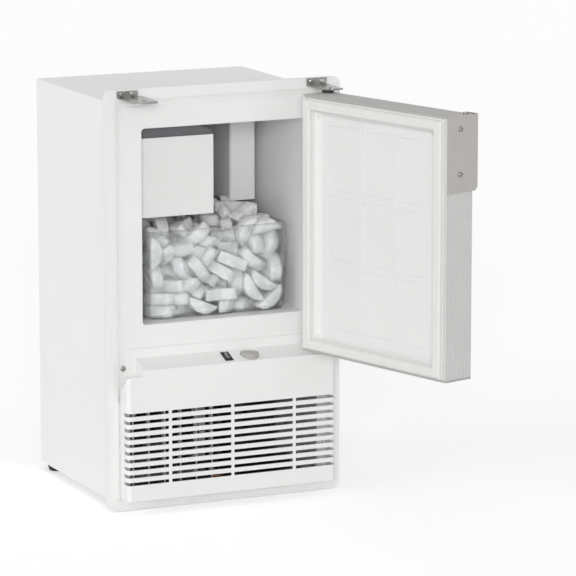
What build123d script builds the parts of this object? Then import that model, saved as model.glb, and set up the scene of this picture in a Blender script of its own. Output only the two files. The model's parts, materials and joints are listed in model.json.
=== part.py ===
from build123d import *
import math
import os

# Built-in crescent ice maker with a front mounting flange, shown with its door open.
# Millimetres and degrees. The origin is on the floor, below the middle of the flange's back face.
# +X is to the right as seen from the front, +Y goes back into the cabinet, +Z is up.

# Cabinet
CABINET_WIDTH = 360.0
CABINET_HEIGHT = 624.0
CABINET_DEPTH = 322.0
SKIN_SHEET = 1.0
SKIN_BEND = 3.0
PAN_SHEET = 1.5

# Feet
FOOT_HEIGHT = 10.5
FOOT_TOP_RADIUS = 16.0
FOOT_TIP_RADIUS = 13.0
FOOT_SIDE = 17.0
FOOT_FRONT = 30.0
FOOT_REAR = 25.0

# Insulation and ice chamber
SIDE_FOAM = 41.0
TOP_FOAM = 36.5
REAR_FOAM = 40.5
FLOOR_FOAM = 38.0
MACHINE_HEIGHT = 239.5
LINER_WALL = 2.5
CHAMBER_CORNER = 5.0

# Front flange
LIP_OVERHANG = 17.0
LIP_ABOVE = 23.0
LIP_BELOW = 9.0
LIP_WIDTH = 17.0
FLANGE_DEPTH = 8.0
FLANGE_RECESS = 3.0
FLANGE_CORNER = 12.0
GROOVE_WIDTH = 4.7
GROOVE_RIDGE = 2.5
GROOVE_DEPTH = 2.0
GROOVE_FOOT = 68.0
SEAM_ABOVE_DOOR = 13.5
SEAM_WIDTH = 1.5
SLIT_WIDTH = 2.5
SLIT_LENGTH = 59.0
MACHINE_MARGIN = 21.0
MACHINE_SILL = 21.5
MACHINE_HEADER = 42.5

# Grille and control ledge
GRILLE_MARGIN = 3.5
GRILLE_LIFT = 20.0
GRILLE_PROUD = 30.5
GRILLE_WALL = 2.5
GRILLE_CORNER = 7.0
LEDGE_GAP = 2.3
LEDGE_SLOPE = 21.0
SLOT_ROWS = 10
SLOT_PITCH = 12.04
SLOT_HEIGHT = 5.0
SLOT_SILL = 25.6
SLOT_RIB = 5.0
SLOT_COLUMN = 105.0
SLOT_WRAP = 16.0
NOTCH_WIDTH = 28.0
NOTCH_DEPTH = 9.0
NOTCH_SLANT = 30.0
SPARE_BELOW_LEDGE = 13.0
SNAP_WIDTH = 16.0
SNAP_THICK = 2.5
SNAP_HOOK = 3.0
SNAP_CLEARANCE = 0.3

# Switch and thermostat
SWITCH_X = -3.0
SWITCH_BACK = 14.0
SWITCH_WIDTH = 10.0
SWITCH_LENGTH = 22.0
SWITCH_DEPTH = 18.0
SWITCH_BEZEL = 1.5
SWITCH_WALL = 1.5
ROCKER_RISE = 2.2
ROCKER_THICK = 6.0
ROCKER_CLEARANCE = 1.2
ROCKER_PIN_RADIUS = 1.5
KNOB_X = 36.0
KNOB_RADIUS = 14.0
KNOB_HEIGHT = 10.0
KNOB_BELOW_DOOR = 4.0
KNOB_BACK = 13.0
KNOB_WELL_GAP = 0.6
KNOB_FLUTES = 18
KNOB_FLUTE_RADIUS = 1.0
THERMOSTAT_WIDTH = 22.0
THERMOSTAT_HEIGHT = 18.0
THERMOSTAT_GAP = 1.5
STEM_RADIUS = 3.0

# Door
DOOR_MARGIN = 19.0
DOOR_LAP_TOP = 46.0
DOOR_LAP_BOTTOM = 50.0
DOOR_THICK = 52.0
DOOR_SHEET = 1.0
DOOR_CAP = 3.0
DOOR_TRIM = 3.0
DOOR_OPEN = 106.0
TRIM_FLUTES = 9
TRIM_FLUTE_DEPTH = 1.0
DISH_SIDE = 27.0
DISH_ABOVE = 22.0
DISH_BELOW = 22.0
DISH_DEPTH = 7.0
DISH_SLOPE = 7.0
DISH_CORNER = 16.0
FIELD_DEPTH = 1.0
FIELD_GAP = 11.0
FIELD_MARGIN = 14.0
FIELD_CORNER = 6.0
GASKET_INSET = 4.0
GASKET_WIDTH = 20.0
GASKET_PROUD = 8.5
GASKET_GAP = 0.4
GASKET_ROUND = 3.0

# Hinges
PIN_RADIUS = 4.0
PIN_EDGE = 8.0
PIN_FACE = 9.0
PIN_REACH = 12.5
PIN_HEAD_RADIUS = 6.0
PIN_HEAD = 1.5
PIN_CLEARANCE = 0.05
BUSH_RADIUS = 6.5
BUSH_LENGTH = 14.0
BUSH_COLLAR_RADIUS = 9.0
BUSH_COLLAR = 1.5
HINGE_GAP = 4.5
HINGE_SHEET = 2.5
HINGE_LENGTH = 34.0
HINGE_OVERREACH = 12.0
HINGE_TAPER = 20.0
HINGE_SIDE = 20.0
HINGE_LEG = 10.0
HINGE_DROP = 31.0
WASHER_PLAY = 0.1

# Latch and strike
STRIKE_GAP = 3.5
STRIKE_SHEET = 2.0
STRIKE_LENGTH = 42.0
STRIKE_OUTSIDE = 17.0
STRIKE_LEG = 9.0
STRIKE_LEG_LENGTH = 34.0
STRIKE_TAB = 2.3
STRIKE_TAB_LENGTH = 26.0
STRIKE_OVERREACH = 3.0
BOLT_RADIUS = 3.5
BOLT_EDGE = 8.0
BOLT_FACE = 8.0
BOLT_LENGTH = 62.0
BOLT_STANDOUT = 3.0
BOLT_TRAVEL = 9.0
BOLT_CLEARANCE = 0.3
STRIKE_HOLE_PLAY = 0.8
TAB_WIDTH = 6.0
TAB_HEIGHT = 10.0
TAB_STANDOUT = 6.0
TAB_CLEARANCE = 0.5
TAB_FOOT = 8.0
BRACKET_SHEET = 1.5
BRACKET_HEIGHT = 115.0
BRACKET_INSET = 0.6
BRACKET_STANDOUT = 12.0
BRACKET_RETURN = 26.0
BRACKET_BEND = 5.0
BRACKET_CHAMFER = 8.0
BRACKET_SCREW_TOP = 20.0
BRACKET_SCREW_FOOT = 27.0

# Screws
SCREW_RADIUS = 2.0
SCREW_HEAD_RADIUS = 4.2
SCREW_HEAD = 2.2
SCREW_CLEARANCE = 0.1
SCREW_EDGE = 8.0
SCREW_BITE = 9.0

# Ice bin and ice
BIN_SIDE_GAP = 16.5
BIN_TAPER = 5.0
BIN_FRONT = 12.0
BIN_REAR_GAP = 16.0
BIN_HEADROOM = 21.0
BIN_LIFT = 0.5
BIN_WALL = 2.5
BIN_CORNER = 8.0
BIN_RIM = 2.5
BIN_RIM_HEIGHT = 3.0
BIN_CLIP_X = 55.0
BIN_CLIP_WIDTH = 14.0
BIN_CLIP_DROP = 9.0
ICE_RADIUS = 30.0
ICE_CHORD = 9.0
ICE_WIDTH = 19.0
ICE_GAP = 1.0
ICE_BELOW_RIM = 14.0
MOUND_X = 45.0
MOUND_Y = 85.0
MOUND_RADIUS = 45.0
MOUND_TOP_RADIUS = 16.0
MOUND_RISE = 38.0
MOUND_PIECES = 7

# Ice maker module
COVER_SIDE = 8.5
COVER_WIDTH = 120.0
COVER_TOP = 18.5
COVER_HEIGHT = 123.5
COVER_FRONT = 17.0
COVER_DEPTH = 40.0
COVER_WALL = 2.0
HOUSING_GAP = 0.5
HOUSING_WALL = 2.5
HOUSING_SLANT_X = 28.0
HOUSING_SLANT_Z = 12.0
HOUSING_POCKET = 8.0
MOULD_FROM_COVER = 15.0
MOULD_WIDTH = 68.0
MOULD_BELOW_CEILING = 56.5
MOULD_HEIGHT = 38.0
MOULD_GAP = 3.0
MOULD_END = 4.0
CELL_COUNT = 8
CELL_WALL = 2.0
CELL_RADIUS = 30.0
EJECTOR_RADIUS = 4.0
EJECTOR_CLEARANCE = 0.05
EJECTOR_REACH = 26.0
EJECTOR_BLADE_WIDTH = 8.0
EJECTOR_BLADE_THICK = 4.0
EJECTOR_NOTCH = 1.5
MOTOR_RADIUS = 20.0
MOTOR_DEPTH = 18.0
MOTOR_GAP = 1.0
STRIPPER_THICK = 3.0
STRIPPER_TOOTH = 5.0
STRIPPER_REACH = 22.0
STRIPPER_LIFT = 0.3
STRIPPER_EDGE = 4.0
HANGER_SHEET = 2.0
HANGER_LAP = 7.0
HANGER_LENGTH = 150.0
HEATER_RADIUS = 3.5
HEATER_SPREAD = 34.0
CUP_REAR_GAP = 14.0
CUP_WIDTH = 26.0
CUP_DEPTH = 20.0
CUP_HEIGHT = 22.0
CUP_WALL = 2.0
ARM_RADIUS = 2.0
ARM_CLEARANCE = 0.05
ARM_BEND = 6.0
ARM_PIVOT_SIDE = 13.0
ARM_PIVOT_BELOW = 89.0
ARM_OUT = 24.0
ARM_DOWN = 27.0
ARM_JOURNAL = 8.0
ARM_END_PLAY = 0.5
ARM_STEP = 14.0
ARM_RUN = 120.0

# Evaporator
COLUMN_WIDTH = 45.0
COLUMN_SIDE = 14.0
COLUMN_DEPTH = 136.0
COLUMN_HEIGHT = 148.0
COLUMN_WALL = 2.0
COLUMN_CORNER = 6.0
COIL_RADIUS = 4.0
COIL_ROWS = 6
COIL_PITCH = 21.0
COIL_FRONT_GAP = 18.0
COIL_FOOT = 20.0

# Condenser and fan
CONDENSER_SIDE = 11.5
CONDENSER_MIDDLE = 12.5
CONDENSER_FRONT = 8.0
CONDENSER_LIFT = 24.0
CONDENSER_ROWS = 6
CONDENSER_PITCH = 26.0
CONDENSER_TUBE = 3.5
CONDENSER_DEPTH = 10.0
FIN_COUNT = 6
FIN_MARGIN = 2.6
FIN_THICK = 2.0
FIN_CLEARANCE = 0.15
FIN_OVERHANG = 10.0
SHROUD_GAP = 26.0
SHROUD_SHEET = 2.0
SHROUD_HOLE = 60.0
SHROUD_DUCT = 26.0
SHROUD_BORDER = 8.0
FAN_RADIUS = 55.0
FAN_HUB = 14.0
FAN_DEPTH = 14.0
FAN_BLADES = 5
FAN_PITCH = 28.0
FAN_BLADE = 2.0
FAN_SETBACK = 6.0
FAN_SHAFT = 3.0
FAN_CLEARANCE = 0.05
STRAP_HEIGHT = 24.0
STRAP_SHEET = 2.0
FAN_MOTOR_RADIUS = 30.0
FAN_MOTOR_DEPTH = 36.0

# Compressor and lines
COMPRESSOR_X = 97.0
COMPRESSOR_Y = 165.0
COMPRESSOR_RADIUS = 62.0
COMPRESSOR_HEIGHT = 150.0
COMPRESSOR_DOME = 28.0
COMPRESSOR_PLATE = 3.0
COMPRESSOR_PLATE_WIDTH = 150.0
COMPRESSOR_PLATE_DEPTH = 110.0
GROMMET_HEIGHT = 15.0
GROMMET_RADIUS = 9.0
GROMMET_EDGE = 12.0
TERMINAL_WIDTH = 34.0
TERMINAL_DEPTH = 18.0
TERMINAL_HEIGHT = 46.0
TERMINAL_LIFT = 45.0
LINE_RADIUS = 3.2
LINE_BEND = 14.0
LINE_CLEARANCE = 0.2
SUCTION_RADIUS = 4.0
CAPILLARY_RADIUS = 1.6
CAPILLARY_BEND = 7.0
DRIER_RADIUS = 11.0
DRIER_LENGTH = 70.0
DRIER_NOSE = 8.0
DRIER_MIDDLE = 7.0
DRIER_Y = 145.0
RISER_REAR = 22.0

# Water and power
VALVE_SIDE = 69.0
VALVE_LIFT = 30.0
VALVE_WIDTH = 40.0
VALVE_DEPTH = 34.0
VALVE_HEIGHT = 44.0
INLET_RADIUS = 9.5
INLET_BORE = 5.0
INLET_LENGTH = 16.0
INLET_NECK = 2.0
INLET_SHOULDER = 1.5
FILL_RADIUS = 4.0
FILL_BEND = 12.0
DRAIN_X = 30.0
DRAIN_REAR = 34.0
DRAIN_RADIUS = 8.0
DRAIN_BORE = 6.0
DRAIN_BEND = 18.0
DRAIN_FALL = 22.0
DRAIN_OUT = 3.0
DRAIN_SPIGOT = 14.0
DRAIN_SPIGOT_RADIUS = 7.2
GLAND_SIDE = 39.0
GLAND_LIFT = 50.0
GLAND_RADIUS = 11.0
GLAND_FLANGE = 14.0
GLAND_FLANGE_THICK = 3.0
GLAND_LENGTH = 10.0
GLAND_BORE = 5.0
PANEL_CLEARANCE = 0.2
VENT_ROWS = 5
VENT_PITCH = 14.0
VENT_HEIGHT = 5.0
VENT_LENGTH = 90.0
VENT_X = 60.0
VENT_LIFT = 110.0

# Planes worked out from the driving sizes
cab_half = CABINET_WIDTH / 2
cab_bottom = FOOT_HEIGHT
cab_top = cab_bottom + CABINET_HEIGHT
skin_half = cab_half - SKIN_SHEET
skin_top = cab_top - SKIN_SHEET
skin_back = CABINET_DEPTH - SKIN_SHEET
pan_top = cab_bottom + PAN_SHEET
foam_bottom = cab_bottom + MACHINE_HEIGHT
liner_half = skin_half - SIDE_FOAM
liner_top = skin_top - TOP_FOAM
liner_back = skin_back - REAR_FOAM
liner_bottom = foam_bottom + FLOOR_FOAM
room_half = liner_half - LINER_WALL
room_top = liner_top - LINER_WALL
room_back = liner_back - LINER_WALL
room_bottom = liner_bottom + LINER_WALL
face_y = FLANGE_RECESS - FLANGE_DEPTH
lip_y = -FLANGE_DEPTH
flange_half = cab_half + LIP_OVERHANG
flange_top = cab_top + LIP_ABOVE
flange_bottom = cab_bottom - LIP_BELOW
lip_half = flange_half - LIP_WIDTH
lip_top = flange_top - LIP_WIDTH
lip_bottom = flange_bottom + LIP_WIDTH
door_half = cab_half - DOOR_MARGIN
door_top = room_top + DOOR_LAP_TOP
door_bottom = room_bottom - DOOR_LAP_BOTTOM
gasket_y = face_y - GASKET_GAP
door_in = gasket_y - GASKET_PROUD
door_out = door_in - DOOR_THICK
between_caps = (door_bottom + DOOR_CAP, door_top - DOOR_CAP)
pin_x = door_half - PIN_EDGE
pin_y = door_out + PIN_FACE
grille_half = cab_half - GRILLE_MARGIN
grille_bottom = flange_bottom + GRILLE_LIFT
grille_y = lip_y - GRILLE_PROUD
mach_half = cab_half - MACHINE_MARGIN
mach_bottom = cab_bottom + MACHINE_SILL
mach_top = door_bottom - MACHINE_HEADER


def block(x, y, z):
    """Box from a low and a high value on each axis."""
    size = [high - low for low, high in (x, y, z)]
    middle = [(low + high) / 2 for low, high in (x, y, z)]
    return Pos(*middle) * Box(*size)


def about(middle, width):
    """Low and high values of a width about a middle."""
    return (middle - width / 2, middle + width / 2)


def panel(x, y, z, radius):
    """Upright slab with its four corners rounded as seen from the front."""
    slab = block(x, y, z)
    return fillet(slab.edges().filter_by(Axis.Y), radius)


def rod(start, direction, length, radius):
    """Round bar from a point along a direction."""
    return Solid.make_cylinder(radius, length, Plane(start, z_dir=direction))


def along(path, radius):
    """Round bar along a path."""
    section = Plane(path @ 0, z_dir=path % 0) * Circle(radius)
    return sweep(section, path=path)


def pipe(points, radius, bend):
    """Round bar along straight runs joined by equal bends."""
    return along(FilletPolyline(*points, radius=bend), radius)


def serpentine(x, y, rows, radius):
    """Round bar in runs stacked one above the other; the rows are (start, end, height)."""
    edges = []
    for row, (start, end, height) in enumerate(rows):
        edges.append(Line((x(start), y(start), height), (x(end), y(end), height)))
        if row + 1 < len(rows):
            rise = rows[row + 1][2] - height
            out = math.copysign(rise / 2, end - start)
            middle = (x(end + out), y(end + out), height + rise / 2)
            top = (x(end), y(end), height + rise)
            edges.append(ThreePointArc((x(end), y(end), height), middle, top))
    return along(Wire(edges), radius)


def screws(seats, direction, length):
    """Pan-head screws whose heads sit on seats and whose shanks go along a direction."""
    back = [-part for part in direction]
    made = []
    for seat in seats:
        head = rod(seat, back, SCREW_HEAD, SCREW_HEAD_RADIUS)
        made.append(rod(seat, direction, length, SCREW_RADIUS) + head)
    return made


def screw_holes(seats, direction, length):
    """Holes for the screws' shanks, a little deeper than the screws are long."""
    depth = length + SCREW_CLEARANCE
    return [rod(seat, direction, depth, SCREW_RADIUS + SCREW_CLEARANCE) for seat in seats]


def swing(shape):
    """A door piece moved from the closed place to the place where the open door stands."""
    return Pos(pin_x, pin_y, 0) * Rot(0, 0, DOOR_OPEN) * Pos(-pin_x, -pin_y, 0) * shape


# Hinge plates: outline in plan, shared by both hinges
hinge_right = pin_x + HINGE_SIDE
hinge_left = hinge_right - HINGE_LENGTH
hinge_front = pin_y - HINGE_OVERREACH
hinge_over = door_top + HINGE_GAP
hinge_under = door_bottom - HINGE_GAP
hinge_screw_z = hinge_over + HINGE_SHEET + HINGE_LEG / 2
hinge_screw_length = HINGE_SHEET + FLANGE_DEPTH / 2
hinge_screw_xs = [hinge_left + SCREW_EDGE, hinge_right - SCREW_EDGE]
hinge_seats = [(x, lip_y - HINGE_SHEET, hinge_screw_z) for x in hinge_screw_xs]
lower_right = grille_half - GRILLE_WALL - SNAP_CLEARANCE
lower_screw_z = hinge_under - HINGE_DROP / 2
lower_screw_length = HINGE_SHEET + (FLANGE_DEPTH - FLANGE_RECESS) / 2
lower_screw_xs = [hinge_left + SCREW_EDGE, lower_right - SCREW_EDGE]
lower_seats = [(x, face_y - HINGE_SHEET, lower_screw_z) for x in lower_screw_xs]

# Strike plate and latch bolt
bolt_x = -door_half + BOLT_EDGE
bolt_y = door_out + BOLT_FACE
bolt_top = door_top + BOLT_STANDOUT
strike_under = door_top + STRIKE_GAP
strike_left = -door_half - STRIKE_OUTSIDE
strike_front = door_out - STRIKE_OVERREACH
strike_leg_top = strike_under + STRIKE_SHEET + STRIKE_LEG
strike_screw_z = strike_under + STRIKE_SHEET + STRIKE_LEG / 2
strike_screw_length = STRIKE_SHEET + FLANGE_DEPTH / 2
strike_screw_xs = [strike_left + SCREW_EDGE, strike_left + STRIKE_LEG_LENGTH - SCREW_EDGE]
strike_seats = [(x, lip_y - STRIKE_SHEET, strike_screw_z) for x in strike_screw_xs]

# Latch bracket on the door's handle edge
bracket_in = door_in - BRACKET_INSET
bracket_out = door_out - BRACKET_STANDOUT
bracket_bottom = door_top - BRACKET_HEIGHT
bracket_face = -door_half - BRACKET_SHEET
bracket_screw_y = (bracket_in + door_out) / 2
bracket_screw_length = BRACKET_SHEET + DOOR_TRIM + SCREW_BITE
bracket_screw_zs = [door_top - BRACKET_SCREW_TOP, bracket_bottom + BRACKET_SCREW_FOOT]
bracket_seats = [(bracket_face, bracket_screw_y, z) for z in bracket_screw_zs]

# Spare hinge-hole plug in the grille's notch
spare_x = -grille_half + NOTCH_WIDTH / 4
spare_z = door_bottom - LEDGE_GAP - SPARE_BELOW_LEDGE
spare_seats = [(spare_x, face_y, spare_z)]

# Ledge: the grille's sloped top
ledge_angle = math.radians(LEDGE_SLOPE)
ledge_z = door_bottom - LEDGE_GAP


def ledge_height(y):
    """Height of the ledge's upper face at a depth."""
    return ledge_z - (lip_y - y) * math.tan(ledge_angle)


ledge_front = ledge_height(grille_y)
ledge_middle_y = (grille_y + lip_y) / 2
switch_y = lip_y - SWITCH_BACK
ledge_plane = Plane(
    (SWITCH_X, switch_y, ledge_height(switch_y)),
    x_dir=(1, 0, 0),
    z_dir=(0, -math.sin(ledge_angle), math.cos(ledge_angle)),
)
knob_y = lip_y - KNOB_BACK
knob_top = door_bottom - KNOB_BELOW_DOOR
knob_foot = knob_top - KNOB_HEIGHT

# Ice maker module
cover_left = -room_half + COVER_SIDE
cover_right = cover_left + COVER_WIDTH
cover_top = room_top - COVER_TOP
cover_bottom = cover_top - COVER_HEIGHT
cover_back = COVER_FRONT + COVER_DEPTH
mould_left = cover_left + MOULD_FROM_COVER
mould_right = mould_left + MOULD_WIDTH
mould_top = room_top - MOULD_BELOW_CEILING
mould_bottom = mould_top - MOULD_HEIGHT
mould_front = cover_back + MOULD_GAP
mould_back = room_back - CUP_REAR_GAP - CUP_DEPTH
cells_front = mould_front + MOULD_END
cell_pitch = (mould_back - MOULD_END - cells_front) / CELL_COUNT
ejector_x = (mould_left + mould_right) / 2
ejector_z = mould_top
arm_x = cover_right - ARM_PIVOT_SIDE
arm_z = room_top - ARM_PIVOT_BELOW
fill_x = mould_left + CUP_WIDTH / 2
fill_z = mould_top + CUP_HEIGHT / 2
riser_y = skin_back - RISER_REAR

# Evaporator column
column_right = room_half - COLUMN_SIDE
column_left = column_right - COLUMN_WIDTH
column_front = room_back - COLUMN_DEPTH
column_bottom = room_top - COLUMN_HEIGHT
coil_x = (column_left + column_right) / 2
coil_front = column_front + COLUMN_WALL + COIL_FRONT_GAP
coil_end = room_back - COIL_RADIUS
coil_turn = coil_end - COIL_PITCH
coil_foot = column_bottom + COIL_FOOT
coil_top = coil_foot + (COIL_ROWS - 1) * COIL_PITCH

# Condenser and fan
cond_left = -skin_half + CONDENSER_SIDE + CONDENSER_PITCH / 2 + CONDENSER_TUBE
cond_right = -CONDENSER_MIDDLE
fin_pitch = (cond_right - cond_left - 2 * FIN_MARGIN) / (FIN_COUNT - 1)
cond_y = CONDENSER_FRONT + CONDENSER_DEPTH / 2
cond_foot = pan_top + CONDENSER_LIFT
cond_top = cond_foot + (CONDENSER_ROWS - 1) * CONDENSER_PITCH
fan_x = (cond_left + cond_right) / 2
fan_z = (cond_foot + cond_top) / 2
shroud_y = CONDENSER_FRONT + CONDENSER_DEPTH + SHROUD_GAP
strap_y = shroud_y + SHROUD_DUCT
motor_y = strap_y + STRAP_SHEET
fan_y = shroud_y + FAN_SETBACK

# Compressor and refrigerant lines
plate_z = pan_top + GROMMET_HEIGHT
can_foot = plate_z + COMPRESSOR_PLATE
can_top = can_foot + COMPRESSOR_HEIGHT
can_left = COMPRESSOR_X - COMPRESSOR_RADIUS
suction_x = coil_x
drier_x = DRIER_MIDDLE
drier_z = cond_foot
drier_end = DRIER_Y + DRIER_LENGTH
discharge_z = can_top - COMPRESSOR_DOME - 2 * LINE_BEND
stub_y = COMPRESSOR_Y + 2 * LINE_BEND
capillary_x = suction_x - 4 * SUCTION_RADIUS

suction_points = [
    (suction_x, coil_end, coil_foot),
    (suction_x, riser_y, coil_foot),
    (suction_x, riser_y, can_top + 2 * LINE_BEND),
    (suction_x, stub_y, can_top + 2 * LINE_BEND),
    (suction_x, stub_y, can_top - COMPRESSOR_DOME),
]
capillary_points = [
    (coil_x, coil_end, coil_top),
    (coil_x, riser_y, coil_top),
    (capillary_x, riser_y, coil_top),
    (capillary_x, riser_y, drier_z + 2 * LINE_BEND),
    (drier_x, riser_y, drier_z + 2 * LINE_BEND),
    (drier_x, riser_y, drier_z),
    (drier_x, drier_end + DRIER_NOSE, drier_z),
]
liquid_points = [
    (cond_right, cond_y, cond_foot),
    (drier_x, cond_y, cond_foot),
    (drier_x, DRIER_Y - DRIER_NOSE, drier_z),
]
discharge_points = [
    (cond_right, cond_y, cond_top),
    (can_left - 2 * LINE_BEND, cond_y, cond_top),
    (can_left - 2 * LINE_BEND, COMPRESSOR_Y, cond_top),
    (can_left - 2 * LINE_BEND, COMPRESSOR_Y, discharge_z),
    (can_left + LINE_BEND, COMPRESSOR_Y, discharge_z),
]

# Water lines
valve_x = -skin_half + VALVE_SIDE
valve_foot = pan_top + VALVE_LIFT
valve_top = valve_foot + VALVE_HEIGHT
valve_front = skin_back - VALVE_DEPTH
inlet_z = (valve_foot + valve_top) / 2
drain_y = room_back - DRAIN_REAR
drain_z = foam_bottom - DRAIN_FALL
drain_out = CABINET_DEPTH + DRAIN_OUT
fill_points = [
    (valve_x, riser_y, valve_top),
    (valve_x, riser_y, fill_z + CUP_HEIGHT),
    (fill_x, mould_back + CUP_DEPTH / 2, fill_z + CUP_HEIGHT),
    (fill_x, mould_back + CUP_DEPTH / 2, fill_z + CUP_WALL),
]
drain_points = [
    (DRAIN_X, drain_y, room_bottom),
    (DRAIN_X, drain_y, drain_z),
    (DRAIN_X, drain_out, drain_z),
]
gland_x = skin_half - GLAND_SIDE
gland_z = pan_top + GLAND_LIFT

# Ice bin
bin_half = room_half - BIN_SIDE_GAP
bin_floor = room_bottom + BIN_LIFT
bin_top = cover_bottom - BIN_HEADROOM
bin_back = room_back - BIN_REAR_GAP
ice_top = bin_top - ICE_BELOW_RIM


def foot_places():
    """Middles of the four feet in plan."""
    side = skin_half - FOOT_SIDE
    return [(x, y) for x in (-side, side) for y in (FOOT_FRONT, skin_back - FOOT_REAR)]


def outer_wrapper():
    """Painted sheet bent over the sides and top."""
    outside = block((-cab_half, cab_half), (0, CABINET_DEPTH), (cab_bottom, cab_top))
    inside = block((-skin_half, skin_half), (0, CABINET_DEPTH), (cab_bottom, skin_top))
    outside = fillet(outside.edges().filter_by(Axis.Y).group_by(Axis.Z)[-1], SKIN_BEND)
    return outside - inside


def back_panel():
    """Sheet that closes the back, with holes for the services and vents."""
    sheet = block((-skin_half, skin_half), (skin_back, CABINET_DEPTH), (cab_bottom, skin_top))
    through = (0, 1, 0)
    inlet_hole = INLET_RADIUS + INLET_SHOULDER + PANEL_CLEARANCE
    cuts = [
        rod((valve_x, skin_back, inlet_z), through, SKIN_SHEET, inlet_hole),
        rod((DRAIN_X, skin_back, drain_z), through, SKIN_SHEET, DRAIN_RADIUS + PANEL_CLEARANCE),
        rod((gland_x, skin_back, gland_z), through, SKIN_SHEET, GLAND_RADIUS + PANEL_CLEARANCE),
    ]
    for row in range(VENT_ROWS):
        low = pan_top + VENT_LIFT + row * VENT_PITCH
        length = (VENT_X - VENT_LENGTH / 2, VENT_X + VENT_LENGTH / 2)
        cuts.append(block(length, (skin_back, CABINET_DEPTH), (low, low + VENT_HEIGHT)))
    return sheet - cuts


def base_pan():
    """Floor of the machine space, drilled for the feet."""
    pan = block((-skin_half, skin_half), (0, skin_back), (cab_bottom, pan_top))
    drill = SCREW_RADIUS + SCREW_CLEARANCE
    return pan - [rod((x, y, cab_bottom), (0, 0, 1), PAN_SHEET, drill) for x, y in foot_places()]


def feet():
    """Tapered rubber feet with a pocket for the screw head."""
    made = []
    for x, y in foot_places():
        foot = Solid.make_cone(FOOT_TIP_RADIUS, FOOT_TOP_RADIUS, FOOT_HEIGHT, Plane((x, y, 0)))
        pocket = rod((x, y, 0), (0, 0, 1), FOOT_HEIGHT / 2, SCREW_HEAD_RADIUS + SCREW_CLEARANCE)
        drill = rod((x, y, 0), (0, 0, 1), FOOT_HEIGHT, SCREW_RADIUS + SCREW_CLEARANCE)
        made.append(foot - [pocket, drill])
    return made


def foot_screws():
    """Screws up through the feet into the base pan."""
    length = FOOT_HEIGHT / 2 + PAN_SHEET + SCREW_BITE / 2
    seats = [(x, y, FOOT_HEIGHT / 2) for x, y in foot_places()]
    return screws(seats, (0, 0, 1), length)


def cabinet_insulation():
    """Foam between the wrapper and the liner, with the lines foamed in."""
    foam = block((-skin_half, skin_half), (0, skin_back), (foam_bottom, skin_top))
    bend = SKIN_BEND - SKIN_SHEET
    foam = fillet(foam.edges().filter_by(Axis.Y).group_by(Axis.Z)[-1], bend)
    room = block((-liner_half, liner_half), (0, liner_back), (liner_bottom, liner_top))
    return foam - room - service_channels()


def service_channels():
    """Space that the lines take up where they pass through foam and liner."""
    return [
        pipe(suction_points, SUCTION_RADIUS + LINE_CLEARANCE, LINE_BEND),
        pipe(capillary_points, CAPILLARY_RADIUS + LINE_CLEARANCE, CAPILLARY_BEND),
        pipe(fill_points, FILL_RADIUS + LINE_CLEARANCE, FILL_BEND),
        pipe(drain_points, DRAIN_RADIUS + LINE_CLEARANCE, DRAIN_BEND),
    ]


def inner_liner():
    """White moulded tub of the ice chamber, flush with the sealing face."""
    tub = block((-liner_half, liner_half), (face_y, liner_back), (liner_bottom, liner_top))
    room = panel((-room_half, room_half), (face_y, room_back), (room_bottom, room_top), CHAMBER_CORNER)
    return tub - room - service_channels()


def front_flange():
    """Moulded frame: raised lip round the edge, recessed sealing face with two grooves."""
    frame = panel((-flange_half, flange_half), (lip_y, 0), (flange_bottom, flange_top), FLANGE_CORNER)
    recess = block((-lip_half, lip_half), (lip_y, face_y), (lip_bottom, lip_top))
    chamber = block((-liner_half, liner_half), (face_y, 0), (liner_bottom, liner_top))
    machine = block((-mach_half, mach_half), (face_y, 0), (mach_bottom, mach_top))
    frame = frame - [recess, chamber, machine]
    groove_foot = door_bottom - GROOVE_FOOT
    for start in (0, GROOVE_WIDTH + GROOVE_RIDGE):
        end = start + GROOVE_WIDTH
        depth = (face_y, face_y + GROOVE_DEPTH)
        outside = block((start - lip_half, lip_half - start), depth, (groove_foot, lip_top - start))
        inside = block((end - lip_half, lip_half - end), depth, (groove_foot, lip_top - end))
        frame = frame - (outside - inside)
    seam_z = door_bottom + SEAM_ABOVE_DOOR
    seam_half = lip_half - 2 * GROOVE_WIDTH - GROOVE_RIDGE
    cuts = [block((-seam_half, seam_half), (face_y, face_y + SEAM_WIDTH), (seam_z, seam_z + SEAM_WIDTH))]
    slit_x = -lip_half - 2 * SLIT_WIDTH
    slit_top = door_bottom - GROOVE_WIDTH
    cuts.append(
        block(
            (slit_x, slit_x + SLIT_WIDTH),
            (lip_y, lip_y + GROOVE_DEPTH),
            (slit_top - SLIT_LENGTH, slit_top),
        )
    )
    inward = (0, 1, 0)
    cuts += screw_holes(hinge_seats, inward, hinge_screw_length)
    cuts += screw_holes(lower_seats + spare_seats, inward, lower_screw_length)
    cuts += screw_holes(strike_seats, inward, strike_screw_length)
    return frame - cuts


def grille_profile(wall):
    """Cross-section of the grille, drawn in by a wall thickness."""
    front = grille_y + wall
    drop = wall / math.cos(ledge_angle)
    low = grille_bottom + wall
    outline = [
        (face_y, low),
        (front, low),
        (front, ledge_height(front) - drop),
        (face_y, ledge_height(face_y) - drop),
    ]
    half = grille_half - wall
    return extrude(Plane.YZ * Polygon(*outline, align=None), half, both=True)


def notch_space(wall):
    """Space of the notch at the grille's top left, which falls to the back, grown by a wall thickness."""
    run = face_y - grille_y
    low = ledge_front - NOTCH_DEPTH - wall * math.hypot(run, NOTCH_SLANT) / run
    top = ledge_z + NOTCH_SLANT
    ahead = grille_y - GRILLE_WALL
    behind = face_y + GRILLE_WALL
    outline = [
        (ahead, low),
        (grille_y, low),
        (face_y, low - NOTCH_SLANT),
        (behind, low - NOTCH_SLANT),
        (behind, top),
        (ahead, top),
    ]
    space = extrude(Plane.YZ * Polygon(*outline, align=None), NOTCH_WIDTH + wall)
    return Pos(-grille_half, 0, 0) * space


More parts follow.
